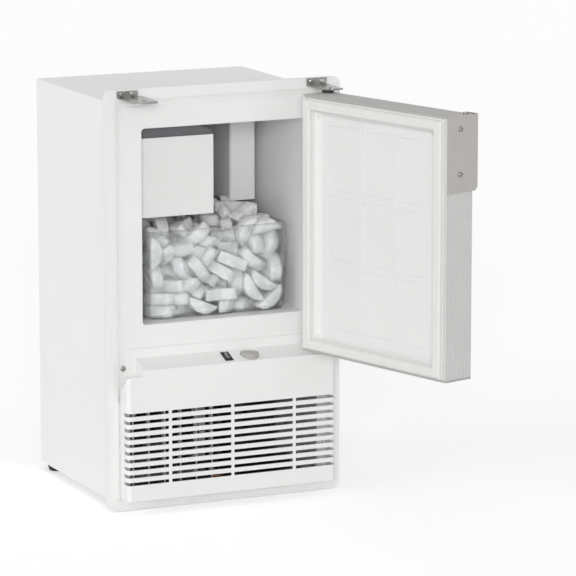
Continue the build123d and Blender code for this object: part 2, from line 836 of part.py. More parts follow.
def grille():
    """Moulded air grille with a sloped control ledge, snapped into the flange."""
    shell = grille_profile(0)
    shell = fillet(shell.edges().filter_by(Axis.Z).group_by(Axis.Y)[0], GRILLE_CORNER)
    hollow = grille_profile(GRILLE_WALL)
    inner_corner = GRILLE_CORNER - GRILLE_WALL
    hollow = fillet(hollow.edges().filter_by(Axis.Z).group_by(Axis.Y)[0], inner_corner)
    shell = shell - (hollow - notch_space(GRILLE_WALL))
    cuts = [notch_space(0)]
    slot_end = grille_half + GRILLE_WALL
    half_rib = SLOT_RIB / 2
    for row in range(SLOT_ROWS):
        low = grille_bottom + SLOT_SILL + row * SLOT_PITCH
        high = low + SLOT_HEIGHT
        for side in (-1, 1):
            inner = sorted((side * half_rib, side * (SLOT_COLUMN - half_rib)))
            outer = sorted((side * (SLOT_COLUMN + half_rib), side * slot_end))
            cuts.append(block(inner, (grille_y, grille_y + GRILLE_WALL), (low, high)))
            cuts.append(block(outer, (grille_y, grille_y + SLOT_WRAP), (low, high)))
    hinge_cut_z = (hinge_under - HINGE_SHEET - SNAP_CLEARANCE, ledge_z + HINGE_GAP)
    hinge_cut_y = (ledge_middle_y - KNOB_BACK, face_y)
    cuts.append(block((hinge_left - SNAP_CLEARANCE, grille_half), hinge_cut_y, hinge_cut_z))
    cuts.append(rod((KNOB_X, knob_y, knob_foot), (0, 0, 1), 2 * KNOB_HEIGHT, KNOB_RADIUS + KNOB_WELL_GAP))
    window = Box(SWITCH_WIDTH, SWITCH_LENGTH, 4 * GRILLE_WALL)
    cuts.append(ledge_plane * window)
    shell = shell - cuts
    reach = (grille_y + GRILLE_WALL / 2, SNAP_HOOK)
    for x in (-SLOT_COLUMN, SLOT_COLUMN):
        width = (x - SNAP_WIDTH / 2, x + SNAP_WIDTH / 2)
        upper = mach_top - SNAP_CLEARANCE
        lower = mach_bottom + SNAP_CLEARANCE
        shell = shell + block(width, reach, (upper - SNAP_THICK, upper))
        shell = shell + block(width, reach, (lower, lower + SNAP_THICK))
    return shell


def switch_housing():
    """Rocker switch body in the ledge, open at the top for the rocker."""
    bezel = block(
        about(0, SWITCH_WIDTH + 2 * SWITCH_BEZEL),
        about(0, SWITCH_LENGTH + SWITCH_BEZEL),
        (0, SWITCH_BEZEL),
    )
    width = SWITCH_WIDTH - 2 * PANEL_CLEARANCE
    length = SWITCH_LENGTH - 2 * PANEL_CLEARANCE
    body = block(about(0, width), about(0, length), (-SWITCH_DEPTH, 0))
    pocket = block(
        about(0, width - 2 * SWITCH_WALL),
        about(0, length - 2 * SWITCH_WALL),
        (SWITCH_WALL - SWITCH_DEPTH, SWITCH_BEZEL),
    )
    bearing = Rot(0, 90, 0) * Cylinder(ROCKER_PIN_RADIUS + PIN_CLEARANCE, width)
    return ledge_plane * (bezel + body - pocket - Pos(0, 0, -ROCKER_THICK / 2) * bearing)


def switch_rocker():
    """Rocker key with a raised saddle, turning on a pin through the switch body."""
    width = SWITCH_WIDTH - 2 * PANEL_CLEARANCE - 2 * SWITCH_WALL - 2 * ROCKER_CLEARANCE
    length = SWITCH_LENGTH - 2 * PANEL_CLEARANCE - 2 * SWITCH_WALL - 2 * ROCKER_CLEARANCE
    rise = SWITCH_BEZEL + ROCKER_RISE
    side = [
        (-length / 2, rise),
        (0, SWITCH_BEZEL),
        (length / 2, rise),
        (length / 4, -ROCKER_THICK),
        (-length / 4, -ROCKER_THICK),
    ]
    key = extrude(Plane.YZ * Polygon(*side, align=None), width / 2, both=True)
    pin_length = SWITCH_WIDTH - 2 * PANEL_CLEARANCE - 2 * PIN_CLEARANCE
    pin = Pos(0, 0, -ROCKER_THICK / 2) * Rot(0, 90, 0) * Cylinder(ROCKER_PIN_RADIUS, pin_length)
    return ledge_plane * (key + pin)


def thermostat_body():
    """Thermostat hung below the knob, with its bushing round the stem."""
    top = knob_foot - THERMOSTAT_GAP
    width = about(KNOB_X, THERMOSTAT_WIDTH)
    case = block(width, about(knob_y, THERMOSTAT_WIDTH), (top - THERMOSTAT_HEIGHT, top))
    strap_end = KNOB_X + KNOB_RADIUS + KNOB_WELL_GAP + 2 * GRILLE_WALL
    strap_y = about(knob_y, THERMOSTAT_WIDTH / 2)
    strap = block((KNOB_X, strap_end), strap_y, (top - GRILLE_WALL, top))
    hanger_top = ledge_height(strap_y[0]) - GRILLE_WALL / math.cos(ledge_angle)
    hanger = block((strap_end - GRILLE_WALL, strap_end), strap_y, (top, hanger_top))
    hole_depth = THERMOSTAT_HEIGHT / 2
    stem_hole = rod((KNOB_X, knob_y, top - hole_depth), (0, 0, 1), hole_depth, STEM_RADIUS + PIN_CLEARANCE)
    return case + strap + hanger - stem_hole


def thermostat_knob():
    """Fluted knob with a pointer groove, turning on the thermostat's stem."""
    knob = rod((KNOB_X, knob_y, knob_foot), (0, 0, 1), KNOB_HEIGHT, KNOB_RADIUS)
    cuts = []
    for flute in range(KNOB_FLUTES):
        turn = 2 * math.pi * flute / KNOB_FLUTES
        place = (KNOB_X + KNOB_RADIUS * math.cos(turn), knob_y + KNOB_RADIUS * math.sin(turn), knob_foot)
        cuts.append(rod(place, (0, 0, 1), KNOB_HEIGHT, KNOB_FLUTE_RADIUS))
    pointer = (KNOB_X - KNOB_FLUTE_RADIUS, KNOB_X + KNOB_FLUTE_RADIUS)
    cuts.append(block(pointer, (knob_y - KNOB_RADIUS, knob_y), (knob_top - KNOB_FLUTE_RADIUS, knob_top)))
    stem_length = THERMOSTAT_GAP + THERMOSTAT_HEIGHT / 2 - PIN_HEAD
    stem = rod((KNOB_X, knob_y, knob_foot - stem_length), (0, 0, 1), stem_length, STEM_RADIUS)
    return knob - cuts + stem


def hinge_plate(right):
    """Plan of a hinge plate from the flange to past the pin, as a flat face."""
    outline = [
        (hinge_left, 0),
        (hinge_left, hinge_front + HINGE_TAPER),
        (hinge_left + HINGE_TAPER / 2, hinge_front + HINGE_TAPER / 4),
        (hinge_left + HINGE_TAPER, hinge_front),
        (right, hinge_front),
        (right, 0),
    ]
    return Polygon(*outline, align=None)


def top_hinge():
    """Plate above the door with a leg screwed to the flange's lip."""
    cut_back = block((hinge_left, hinge_right), (lip_y, 0), (hinge_over, hinge_over + HINGE_SHEET))
    plate = Pos(0, 0, hinge_over) * extrude(hinge_plate(hinge_right), HINGE_SHEET) - cut_back
    leg_z = (hinge_over, hinge_over + HINGE_SHEET + HINGE_LEG)
    leg = block((hinge_left, hinge_right), (lip_y - HINGE_SHEET, lip_y), leg_z)
    cuts = screw_holes(hinge_seats, (0, 1, 0), hinge_screw_length)
    cuts.append(rod((pin_x, pin_y, hinge_over), (0, 0, 1), HINGE_SHEET, PIN_RADIUS + PIN_CLEARANCE))
    return plate + leg - cuts


def bottom_hinge():
    """Plate below the door with a leg screwed to the sealing face inside the grille."""
    low = hinge_under - HINGE_SHEET
    cut_back = block((hinge_left, lower_right), (face_y, 0), (low, hinge_under))
    plate = Pos(0, 0, low) * extrude(hinge_plate(lower_right), HINGE_SHEET) - cut_back
    leg_z = (hinge_under - HINGE_DROP, hinge_under)
    leg = block((hinge_left, lower_right), (face_y - HINGE_SHEET, face_y), leg_z)
    cuts = screw_holes(lower_seats, (0, 1, 0), lower_screw_length)
    cuts.append(rod((pin_x, pin_y, low), (0, 0, 1), HINGE_SHEET, PIN_RADIUS + PIN_CLEARANCE))
    return plate + leg - cuts


def flange_screws():
    """Screws of the hinge plates and the strike plate, and the one that plugs the spare hinge hole."""
    inward = (0, 1, 0)
    made = screws(hinge_seats, inward, hinge_screw_length)
    made += screws(lower_seats + spare_seats, inward, lower_screw_length)
    return made + screws(strike_seats, inward, strike_screw_length)


def hinge_pins():
    """Headed pins fixed in the hinge plates, reaching into the door."""
    upper_seat = hinge_over + HINGE_SHEET
    lower_seat = hinge_under - HINGE_SHEET
    reach = HINGE_SHEET + HINGE_GAP + PIN_REACH
    upper = rod((pin_x, pin_y, upper_seat), (0, 0, -1), reach, PIN_RADIUS)
    upper = upper + rod((pin_x, pin_y, upper_seat), (0, 0, 1), PIN_HEAD, PIN_HEAD_RADIUS)
    lower = rod((pin_x, pin_y, lower_seat), (0, 0, 1), reach, PIN_RADIUS)
    lower = lower + rod((pin_x, pin_y, lower_seat), (0, 0, -1), PIN_HEAD, PIN_HEAD_RADIUS)
    return [upper, lower]


def hinge_washers():
    """Black nylon washers on the pins, between the plates and the door's bushes."""
    thick = HINGE_GAP - BUSH_COLLAR - 2 * WASHER_PLAY
    made = []
    for low in (hinge_over - WASHER_PLAY - thick, hinge_under + WASHER_PLAY):
        disc = rod((pin_x, pin_y, low), (0, 0, 1), thick, BUSH_COLLAR_RADIUS)
        made.append(disc - rod((pin_x, pin_y, low), (0, 0, 1), thick, PIN_RADIUS + PIN_CLEARANCE))
    return made


def hinge_bushes():
    """Nylon bushes in the door's caps that turn on the pins."""
    made = []
    for face, inward in ((door_top, -1), (door_bottom, 1)):
        collar = rod((pin_x, pin_y, face), (0, 0, -inward), BUSH_COLLAR, BUSH_COLLAR_RADIUS)
        body = rod((pin_x, pin_y, face), (0, 0, inward), BUSH_LENGTH, BUSH_RADIUS)
        start = (pin_x, pin_y, face - inward * BUSH_COLLAR)
        bore = rod(start, (0, 0, inward), BUSH_COLLAR + BUSH_LENGTH, PIN_RADIUS + PIN_CLEARANCE)
        made.append(collar + body - bore)
    return made


def bush_seats():
    """Holes in the door for the bushes."""
    depth = BUSH_LENGTH + PIN_CLEARANCE
    radius = BUSH_RADIUS + PIN_CLEARANCE
    upper = rod((pin_x, pin_y, door_top), (0, 0, -1), depth, radius)
    lower = rod((pin_x, pin_y, door_bottom), (0, 0, 1), depth, radius)
    return [upper, lower]


def bolt_channel():
    """Space in the door for the latch bolt, its thumb tab and their travel."""
    low = bolt_top - BOLT_LENGTH - BOLT_CLEARANCE
    bore = rod((bolt_x, bolt_y, low), (0, 0, 1), door_top - low, BOLT_RADIUS + BOLT_CLEARANCE)
    half = TAB_WIDTH / 2 + TAB_CLEARANCE
    tab_low = bolt_top - BOLT_LENGTH + TAB_FOOT - TAB_CLEARANCE
    tab_high = tab_low + TAB_HEIGHT + BOLT_TRAVEL + 2 * TAB_CLEARANCE
    slot = block((bolt_x - half, bolt_x + half), (door_out, bolt_y), (tab_low, tab_high))
    return [bore, slot]


def latch_screw_holes():
    """Holes for the latch bracket's screws in the door's edge."""
    return screw_holes(bracket_seats, (1, 0, 0), bracket_screw_length)


def door_outer_panel():
    """Painted sheet on the door's front."""
    half = door_half - DOOR_TRIM
    sheet = block((-half, half), (door_out, door_out + DOOR_SHEET), between_caps)
    return sheet - bolt_channel()


def dish_outline(grow):
    """Outline of the door liner's dish at its rim, grown by an amount all round."""
    top = door_top - DISH_ABOVE + grow
    bottom = door_bottom + DISH_BELOW - grow
    half = door_half - DISH_SIDE + grow
    points = [(-half, bottom), (half, bottom), (half, top), (-half, top)]
    return fillet(Polygon(*points, align=None).vertices(), DISH_CORNER + grow)


def dish_body(grow, depth):
    """The dish as a solid going into the door, its walls sloped all round."""
    rim = Plane((0, door_in, 0), x_dir=(1, 0, 0), z_dir=(0, -1, 0))
    floor = Plane((0, door_in - depth, 0), x_dir=(1, 0, 0), z_dir=(0, -1, 0))
    return loft([rim * dish_outline(grow), floor * dish_outline(grow - DISH_SLOPE)], ruled=True)


def dish_fields():
    """Shallow sunk fields in the dish's floor, three across and three up, with low ribs left between."""
    inset = DISH_SLOPE + FIELD_MARGIN
    top = door_top - DISH_ABOVE - inset
    bottom = door_bottom + DISH_BELOW + inset
    half = door_half - DISH_SIDE - inset
    width = (2 * half - 2 * FIELD_GAP) / 3
    height = (top - bottom - 2 * FIELD_GAP) / 3
    floor = door_in - DISH_DEPTH
    made = []
    for column in range(3):
        for row in range(3):
            left = -half + column * (width + FIELD_GAP)
            low = bottom + row * (height + FIELD_GAP)
            depth = (floor - FIELD_DEPTH, floor)
            made.append(panel((left, left + width), depth, (low, low + height), FIELD_CORNER))
    return made


def door_liner():
    """White inner panel with a shallow dish and sunk fields."""
    half = door_half - DOOR_TRIM
    sheet = block((-half, half), (door_in - LINER_WALL, door_in), between_caps)
    back = dish_body(LINER_WALL, DISH_DEPTH + LINER_WALL)
    return sheet + back - dish_body(0, DISH_DEPTH) - dish_fields()


def door_insulation():
    """Foam core of the door."""
    half = door_half - DOOR_TRIM
    depth = (door_out + DOOR_SHEET, door_in - LINER_WALL)
    foam = block((-half, half), depth, between_caps)
    back = dish_body(LINER_WALL, DISH_DEPTH + LINER_WALL)
    return foam - back - bush_seats() - bolt_channel() - latch_screw_holes()


def door_gasket():
    """Soft frame that seals on the flange."""
    half = door_half - GASKET_INSET
    low = door_bottom + GASKET_INSET
    high = door_top - GASKET_INSET
    depth = (door_in, gasket_y)
    outside = panel((-half, half), depth, (low, high), GASKET_INSET)
    inside = block(
        (GASKET_WIDTH - half, half - GASKET_WIDTH),
        depth,
        (low + GASKET_WIDTH, high - GASKET_WIDTH),
    )
    ring = outside - inside
    return fillet(ring.faces().sort_by(Axis.Y)[-1].edges(), GASKET_ROUND)


def handle_edge_trim():
    """Fluted strip on the edge where the hand goes."""
    strip = block((-door_half, DOOR_TRIM - door_half), (door_out, door_in), between_caps)
    pitch = DOOR_THICK / TRIM_FLUTES
    flutes = []
    for flute in range(TRIM_FLUTES):
        middle = door_out + (flute + 0.5) * pitch
        flutes.append(
            block(
                (-door_half, TRIM_FLUTE_DEPTH - door_half),
                about(middle, pitch / 2),
                (door_bottom + DOOR_CAP, bracket_bottom),
            )
        )
    return strip - flutes - latch_screw_holes()


def hinge_edge_trim():
    """Plain strip on the hinge edge."""
    strip = block((door_half - DOOR_TRIM, door_half), (door_out, door_in), between_caps)
    return strip - bush_seats()


def door_top_cap():
    """Cap along the top of the door, pierced for the pin and the bolt."""
    cap = block((-door_half, door_half), (door_out, door_in), (door_top - DOOR_CAP, door_top))
    return cap - bush_seats() - bolt_channel()


def door_bottom_cap():
    """Cap along the bottom of the door, pierced for the pin."""
    cap = block((-door_half, door_half), (door_out, door_in), (door_bottom, door_bottom + DOOR_CAP))
    return cap - bush_seats()


def latch_bracket():
    """Stainless angle on the handle edge whose front return is the pull."""
    height = (bracket_bottom, door_top)
    end = BRACKET_RETURN - door_half
    outside = block((bracket_face, end), (bracket_out, bracket_in), height)
    inside = block((-door_half, end), (bracket_out + BRACKET_SHEET, bracket_in), height)
    outer_edge = outside.edges().filter_by(Axis.Z).group_by(Axis.Y)[0].sort_by(Axis.X)[0]
    inner_edge = inside.edges().filter_by(Axis.Z).group_by(Axis.Y)[0].sort_by(Axis.X)[0]
    angle = fillet(outer_edge, BRACKET_BEND) - fillet(inner_edge, BRACKET_BEND - BRACKET_SHEET)
    reach = bracket_out + BRACKET_CHAMFER
    rise = bracket_bottom + BRACKET_CHAMFER
    corner = [(bracket_out, bracket_bottom), (reach, bracket_bottom), (bracket_out, rise)]
    chamfer_cut = extrude(Plane.YZ * Polygon(*corner, align=None), BRACKET_RETURN + BRACKET_SHEET)
    return angle - Pos(bracket_face, 0, 0) * chamfer_cut - latch_screw_holes()


def latch_screws():
    """Screws of the latch bracket."""
    return screws(bracket_seats, (1, 0, 0), bracket_screw_length)


def latch_bolt():
    """Bolt that slides up into the strike, with a thumb tab behind the pull."""
    low = bolt_top - BOLT_LENGTH
    bolt = rod((bolt_x, bolt_y, low), (0, 0, 1), BOLT_LENGTH, BOLT_RADIUS)
    half = TAB_WIDTH / 2
    tab_z = (low + TAB_FOOT, low + TAB_FOOT + TAB_HEIGHT)
    tab = block((bolt_x - half, bolt_x + half), (door_out - TAB_STANDOUT, bolt_y), tab_z)
    return bolt + tab


def strike_plate():
    """Plate on the flange's lip that takes the bolt, with a turned-down front edge."""
    right = strike_left + STRIKE_LENGTH
    level = (strike_under, strike_under + STRIKE_SHEET)
    plate = block((strike_left, right), (strike_front, lip_y), level)
    leg_x = (strike_left, strike_left + STRIKE_LEG_LENGTH)
    leg = block(leg_x, (lip_y - STRIKE_SHEET, lip_y), (strike_under, strike_leg_top))
    tab_y = (strike_front, strike_front + STRIKE_SHEET)
    tab = block((right - STRIKE_TAB_LENGTH, right), tab_y, (strike_under - STRIKE_TAB, strike_under))
    cuts = screw_holes(strike_seats, (0, 1, 0), strike_screw_length)
    hole = BOLT_RADIUS + STRIKE_HOLE_PLAY
    cuts.append(rod((bolt_x, bolt_y, strike_under), (0, 0, 1), STRIKE_SHEET, hole))
    return plate + leg + tab - cuts


def tapered_box(inset, low, high):
    """Bin shape, narrower at the foot, drawn in by an inset all round."""
    middle_y = (BIN_FRONT + bin_back) / 2
    depth = bin_back - BIN_FRONT
    slope = BIN_TAPER / (bin_top - bin_floor)
    sections = []
    for z in (low, high):
        narrow = inset + (bin_top - z) * slope
        corner = BIN_CORNER - inset / 2
        outline = RectangleRounded(2 * (bin_half - narrow), depth - 2 * narrow, corner)
        sections.append(Pos(0, middle_y, z) * outline)
    return loft(sections)


def ice_bin():
    """Clear bin with a rolled rim and two rim clips."""
    body = tapered_box(0, bin_floor, bin_top)
    rim = tapered_box(-BIN_RIM, bin_top - BIN_RIM_HEIGHT, bin_top)
    hollow = tapered_box(BIN_WALL, bin_floor + BIN_WALL, bin_top)
    shell = body + rim - hollow
    for x in (-BIN_CLIP_X, BIN_CLIP_X):
        width = (x - BIN_CLIP_WIDTH / 2, x + BIN_CLIP_WIDTH / 2)
        depth = (BIN_FRONT - BIN_RIM, BIN_FRONT)
        shell = shell + block(width, depth, (bin_top - BIN_CLIP_DROP, bin_top - BIN_RIM_HEIGHT))
    return shell


def crescent(place, turn, tilt):
    """One crescent of ice lying at a place."""
    shape = Circle(ICE_RADIUS) - Pos(0, ICE_CHORD - ICE_RADIUS) * Rectangle(2 * ICE_RADIUS, 2 * ICE_RADIUS)
    piece = extrude(Pos(0, -ICE_CHORD) * shape, ICE_WIDTH)
    return Pos(*place) * Rot(0, tilt, turn) * piece


def ice_heap():
    """Heap of crescent ice that fills the bin and rises to a mound on the right."""
    inset = BIN_WALL + ICE_GAP
    heap = tapered_box(inset, bin_floor + inset, ice_top)
    mound_seat = Plane((MOUND_X, MOUND_Y, ice_top - ICE_GAP))
    heap = heap + Solid.make_cone(MOUND_RADIUS, MOUND_TOP_RADIUS, MOUND_RISE + ICE_GAP, mound_seat)
    for piece in range(MOUND_PIECES):
        turn = 360 * piece / MOUND_PIECES
        reach = (MOUND_RADIUS + MOUND_TOP_RADIUS) / 2
        x = MOUND_X + reach * math.cos(math.radians(turn))
        y = MOUND_Y + reach * math.sin(math.radians(turn))
        heap = heap + crescent((x, y, ice_top - ICE_WIDTH / 2), turn, 0)
    return heap


def icemaker_cover():
    """White cover over the front of the ice maker, open at the back and top."""
    outside = block((cover_left, cover_right), (COVER_FRONT, cover_back), (cover_bottom, cover_top))
    inside = block(
        (cover_left + COVER_WALL, cover_right - COVER_WALL),
        (COVER_FRONT + COVER_WALL, cover_back),
        (cover_bottom + COVER_WALL, cover_top),
    )
    return outside - inside


def control_housing():
    """Dark housing of the ice maker's drive, showing as a band above the cover."""
    gap = COVER_WALL + HOUSING_GAP
    left = cover_left + gap
    right = cover_right - gap
    front = COVER_FRONT + gap
    low = cover_bottom + gap
    high = room_top - HOUSING_GAP
    outline = [
        (left, low),
        (right, low),
        (right, high - HOUSING_SLANT_Z),
        (right - HOUSING_SLANT_X, high),
        (left, high),
    ]
    facing = Plane((0, cover_back, 0), x_dir=(1, 0, 0), z_dir=(0, -1, 0))
    case = extrude(facing * Polygon(*outline, align=None), cover_back - front)
    pocket = MOTOR_RADIUS + HOUSING_POCKET
    hollow = block(
        (ejector_x - pocket, ejector_x + pocket),
        (front + HOUSING_WALL, cover_back - HOUSING_WALL),
        (low, high - HOUSING_SLANT_Z - HOUSING_WALL),
    )
    wall_y = cover_back - HOUSING_WALL
    shaft = rod((ejector_x, wall_y, ejector_z), (0, 1, 0), HOUSING_WALL, EJECTOR_RADIUS + EJECTOR_CLEARANCE)
    journal_depth = HOUSING_WALL + ARM_JOURNAL + ARM_END_PLAY
    arm_start = (arm_x, cover_back - journal_depth, arm_z)
    arm = rod(arm_start, (0, 1, 0), journal_depth, ARM_RADIUS + ARM_CLEARANCE)
    return case - [hollow, shaft, arm]


def ejector_motor():
    """Small gear motor on the housing's front wall, in line with the ejector."""
    front = COVER_FRONT + COVER_WALL + HOUSING_GAP + HOUSING_WALL
    return rod((ejector_x, front, ejector_z), (0, 1, 0), MOTOR_DEPTH, MOTOR_RADIUS)


def ice_mould():
    """Aluminium trough divided into crescent cells."""
    body = block((mould_left, mould_right), (mould_front, mould_back), (mould_bottom, mould_top))
    cuts = []
    for cell in range(CELL_COUNT):
        start = cells_front + cell * cell_pitch + CELL_WALL / 2
        cuts.append(rod((ejector_x, start, ejector_z), (0, 1, 0), cell_pitch - CELL_WALL, CELL_RADIUS))
    length = mould_back - mould_front
    cuts.append(rod((ejector_x, mould_front, ejector_z), (0, 1, 0), length, EJECTOR_RADIUS + EJECTOR_NOTCH))
    return body - cuts


def ejector():
    """Shaft with one finger over each cell."""
    start = COVER_FRONT + COVER_WALL + HOUSING_GAP + HOUSING_WALL + MOTOR_DEPTH + MOTOR_GAP
    shaft = rod((ejector_x, start, ejector_z), (0, 1, 0), mould_back - start, EJECTOR_RADIUS)
    for cell in range(CELL_COUNT):
        middle = cells_front + (cell + 0.5) * cell_pitch
        span = about(middle, EJECTOR_BLADE_WIDTH)
        level = about(ejector_z + EJECTOR_RADIUS / 2, EJECTOR_BLADE_THICK)
        shaft = shaft + block((ejector_x - EJECTOR_REACH, ejector_x), span, level)
    return shaft


def stripper():
    """Comb on the mould's right edge whose teeth reach between the ejector's fingers."""
    low = mould_top + STRIPPER_LIFT
    level = (mould_top, low + STRIPPER_THICK)
    edge = mould_right - STRIPPER_EDGE
    back = block((edge, mould_right), (mould_front, mould_back), level)
    for cell in range(1, CELL_COUNT):
        middle = cells_front + cell * cell_pitch
        tooth_z = (low, low + STRIPPER_THICK)
        back = back + block((edge - STRIPPER_REACH, mould_right), about(middle, STRIPPER_TOOTH), tooth_z)
    return back


def icemaker_bracket():
    """Angle that hangs the mould from the chamber's left wall."""
    middle = (mould_front + mould_back) / 2
    span = (middle - HANGER_LENGTH / 2, middle + HANGER_LENGTH / 2)
    wall = block((-room_half, HANGER_SHEET - room_half), span, (mould_bottom, mould_top + HANGER_SHEET))
    shelf = block((-room_half, mould_left + HANGER_LAP / 2), span, (mould_top, mould_top + HANGER_SHEET))
    return wall + shelf


def mould_heater():
    """U-shaped heating rod under the mould."""
    z = mould_bottom - HEATER_RADIUS
    half = HEATER_SPREAD / 2
    turn = mould_back - MOULD_END - half - HEATER_RADIUS
    near, far = about(ejector_x, HEATER_SPREAD)
    left = Line((near, mould_front, z), (near, turn, z))
    bend = ThreePointArc((near, turn, z), (ejector_x, turn + half, z), (far, turn, z))
    right = Line((far, turn, z), (far, mould_front, z))
    return along(Wire([left, bend, right]), HEATER_RADIUS)


def fill_cup():
    """Open cup at the mould's rear end that takes the water."""
    span = (mould_back, mould_back + CUP_DEPTH)
    across = (fill_x - CUP_WIDTH / 2, fill_x + CUP_WIDTH / 2)
    cup = block(across, span, (fill_z - CUP_HEIGHT, fill_z + CUP_HEIGHT / 2))
    hollow = block(
        (across[0] + CUP_WALL, across[1] - CUP_WALL),
        (span[0] + CUP_WALL, span[1] - CUP_WALL),
        (fill_z - CUP_HEIGHT + CUP_WALL, fill_z + CUP_HEIGHT / 2),
    )
    spout = block(
        (across[0] + CUP_WALL, across[1] - CUP_WALL),
        (span[0], span[0] + CUP_WALL),
        (mould_top + CUP_WALL, fill_z + CUP_HEIGHT / 2),
    )
    return cup - [hollow, spout]


def shutoff_arm():
    """Wire arm that rests above the ice and stops the maker when lifted."""
    wall_y = cover_back - HOUSING_WALL
    bend_y = cover_back + ARM_STEP
    points = [
        (arm_x, wall_y - ARM_JOURNAL, arm_z),
        (arm_x, bend_y, arm_z),
        (arm_x + ARM_OUT, bend_y + ARM_STEP, arm_z - ARM_DOWN),
        (arm_x + ARM_OUT, bend_y + ARM_STEP + ARM_RUN, arm_z - ARM_DOWN),
    ]
    return pipe(points, ARM_RADIUS, ARM_BEND)


def evaporator_cover():
    """White column in the rear right corner of the chamber."""
    outside = block((column_left, column_right), (column_front, room_back), (column_bottom, room_top))
    front_edges = outside.edges().filter_by(Axis.Z).group_by(Axis.Y)[0]
    outside = fillet(front_edges, COLUMN_CORNER)
    inside = block(
        (column_left + COLUMN_WALL, column_right - COLUMN_WALL),
        (column_front + COLUMN_WALL, room_back),
        (column_bottom + COLUMN_WALL, room_top),
    )
    inside = fillet(inside.edges().filter_by(Axis.Z).group_by(Axis.Y)[0], COLUMN_CORNER - COLUMN_WALL)
    return outside - inside


def evaporator_coil():
    """Aluminium tube bent back and forth inside the column."""
    rows = []
    for row in range(COIL_ROWS):
        z = coil_foot + row * COIL_PITCH
        near = coil_front + COIL_PITCH / 2
        start = coil_end if row == 0 else coil_turn
        end = coil_end if row == COIL_ROWS - 1 else coil_turn
        rows.append((start, near, z) if row % 2 == 0 else (near, end, z))
    return serpentine(lambda run: coil_x, lambda run: run, rows, COIL_RADIUS)


def condenser_tube():
    """Copper tube bent back and forth behind the grille."""
    rows = []
    for row in range(CONDENSER_ROWS):
        z = cond_foot + row * CONDENSER_PITCH
        rows.append((cond_right, cond_left, z) if row % 2 == 0 else (cond_left, cond_right, z))
    return serpentine(lambda run: run, lambda run: cond_y, rows, CONDENSER_TUBE)


def condenser_fins():
    """Upright flat fins threaded on the condenser's tube."""
    made = []
    low = pan_top
    high = cond_top + FIN_OVERHANG
    for fin in range(FIN_COUNT):
        x = cond_left + FIN_MARGIN + fin * fin_pitch - FIN_THICK / 2
        plate = block((x, x + FIN_THICK), (CONDENSER_FRONT, CONDENSER_FRONT + CONDENSER_DEPTH), (low, high))
        holes = []
        for row in range(CONDENSER_ROWS):
            centre = (x, cond_y, cond_foot + row * CONDENSER_PITCH)
            holes.append(rod(centre, (1, 0, 0), FIN_THICK, CONDENSER_TUBE + FIN_CLEARANCE))
        made.append(plate - holes)
    return made


def fan_shroud():
    """Sheet with a round duct behind the condenser."""
    border = SHROUD_HOLE + SHROUD_SHEET + SHROUD_BORDER
    width = about(fan_x, 2 * border)
    sheet = block(width, (shroud_y, shroud_y + SHROUD_SHEET), (pan_top, fan_z + border))
    duct = rod((fan_x, shroud_y, fan_z), (0, 1, 0), SHROUD_DUCT, SHROUD_HOLE + SHROUD_SHEET)
    return sheet + duct - rod((fan_x, shroud_y, fan_z), (0, 1, 0), SHROUD_DUCT, SHROUD_HOLE)


def fan_motor():
    """Motor on a strap across the duct, with its shaft."""
    strap_half = SHROUD_HOLE + SHROUD_SHEET
    strap = block(
        (fan_x - strap_half, fan_x + strap_half),
        (strap_y, motor_y),
        (fan_z - STRAP_HEIGHT / 2, fan_z + STRAP_HEIGHT / 2),
    )
    body = rod((fan_x, motor_y, fan_z), (0, 1, 0), FAN_MOTOR_DEPTH, FAN_MOTOR_RADIUS)
    shaft = rod((fan_x, fan_y, fan_z), (0, 1, 0), motor_y - fan_y, FAN_SHAFT)
    return strap + body + shaft


def fan_blade():
    """Fan with a bored hub and pitched blades."""
    hub = rod((fan_x, fan_y, fan_z), (0, 1, 0), FAN_DEPTH, FAN_HUB)
    for blade in range(FAN_BLADES):
        reach = FAN_RADIUS - FAN_HUB / 2
        flat = Box(FAN_DEPTH + FAN_HUB, FAN_BLADE, reach)
        pitched = Pos(0, 0, FAN_HUB / 2 + reach / 2) * Rot(0, 0, FAN_PITCH) * flat
        turned = Rot(0, 360 * blade / FAN_BLADES, 0) * pitched
        hub = hub + Pos(fan_x, fan_y + FAN_DEPTH / 2, fan_z) * turned
    return hub - rod((fan_x, fan_y, fan_z), (0, 1, 0), FAN_DEPTH, FAN_SHAFT + FAN_CLEARANCE)


def compressor():
    """Welded can on its mounting plate."""
    can = rod((COMPRESSOR_X, COMPRESSOR_Y, can_foot), (0, 0, 1), COMPRESSOR_HEIGHT, COMPRESSOR_RADIUS)
    can = fillet(can.edges().filter_by(GeomType.CIRCLE).sort_by(Axis.Z)[-1], COMPRESSOR_DOME)
    half_x = COMPRESSOR_PLATE_WIDTH / 2
    half_y = COMPRESSOR_PLATE_DEPTH / 2
    plate = block(
        (COMPRESSOR_X - half_x, COMPRESSOR_X + half_x),
        (COMPRESSOR_Y - half_y, COMPRESSOR_Y + half_y),
        (plate_z, can_foot),
    )
    return can + plate - line_seats()


def line_seats():
    """Holes in the compressor where the lines enter."""
    return [
        pipe(suction_points, SUCTION_RADIUS + LINE_CLEARANCE, LINE_BEND),
        pipe(discharge_points, LINE_RADIUS + LINE_CLEARANCE, LINE_BEND),
    ]


def compressor_grommets():
    """Rubber mounts under the compressor's plate."""
    half_x = COMPRESSOR_PLATE_WIDTH / 2 - GROMMET_EDGE
    half_y = COMPRESSOR_PLATE_DEPTH / 2 - GROMMET_EDGE
    made = []
    for x in (COMPRESSOR_X - half_x, COMPRESSOR_X + half_x):
        for y in (COMPRESSOR_Y - half_y, COMPRESSOR_Y + half_y):
            made.append(rod((x, y, pan_top), (0, 0, 1), GROMMET_HEIGHT, GROMMET_RADIUS))
    return made


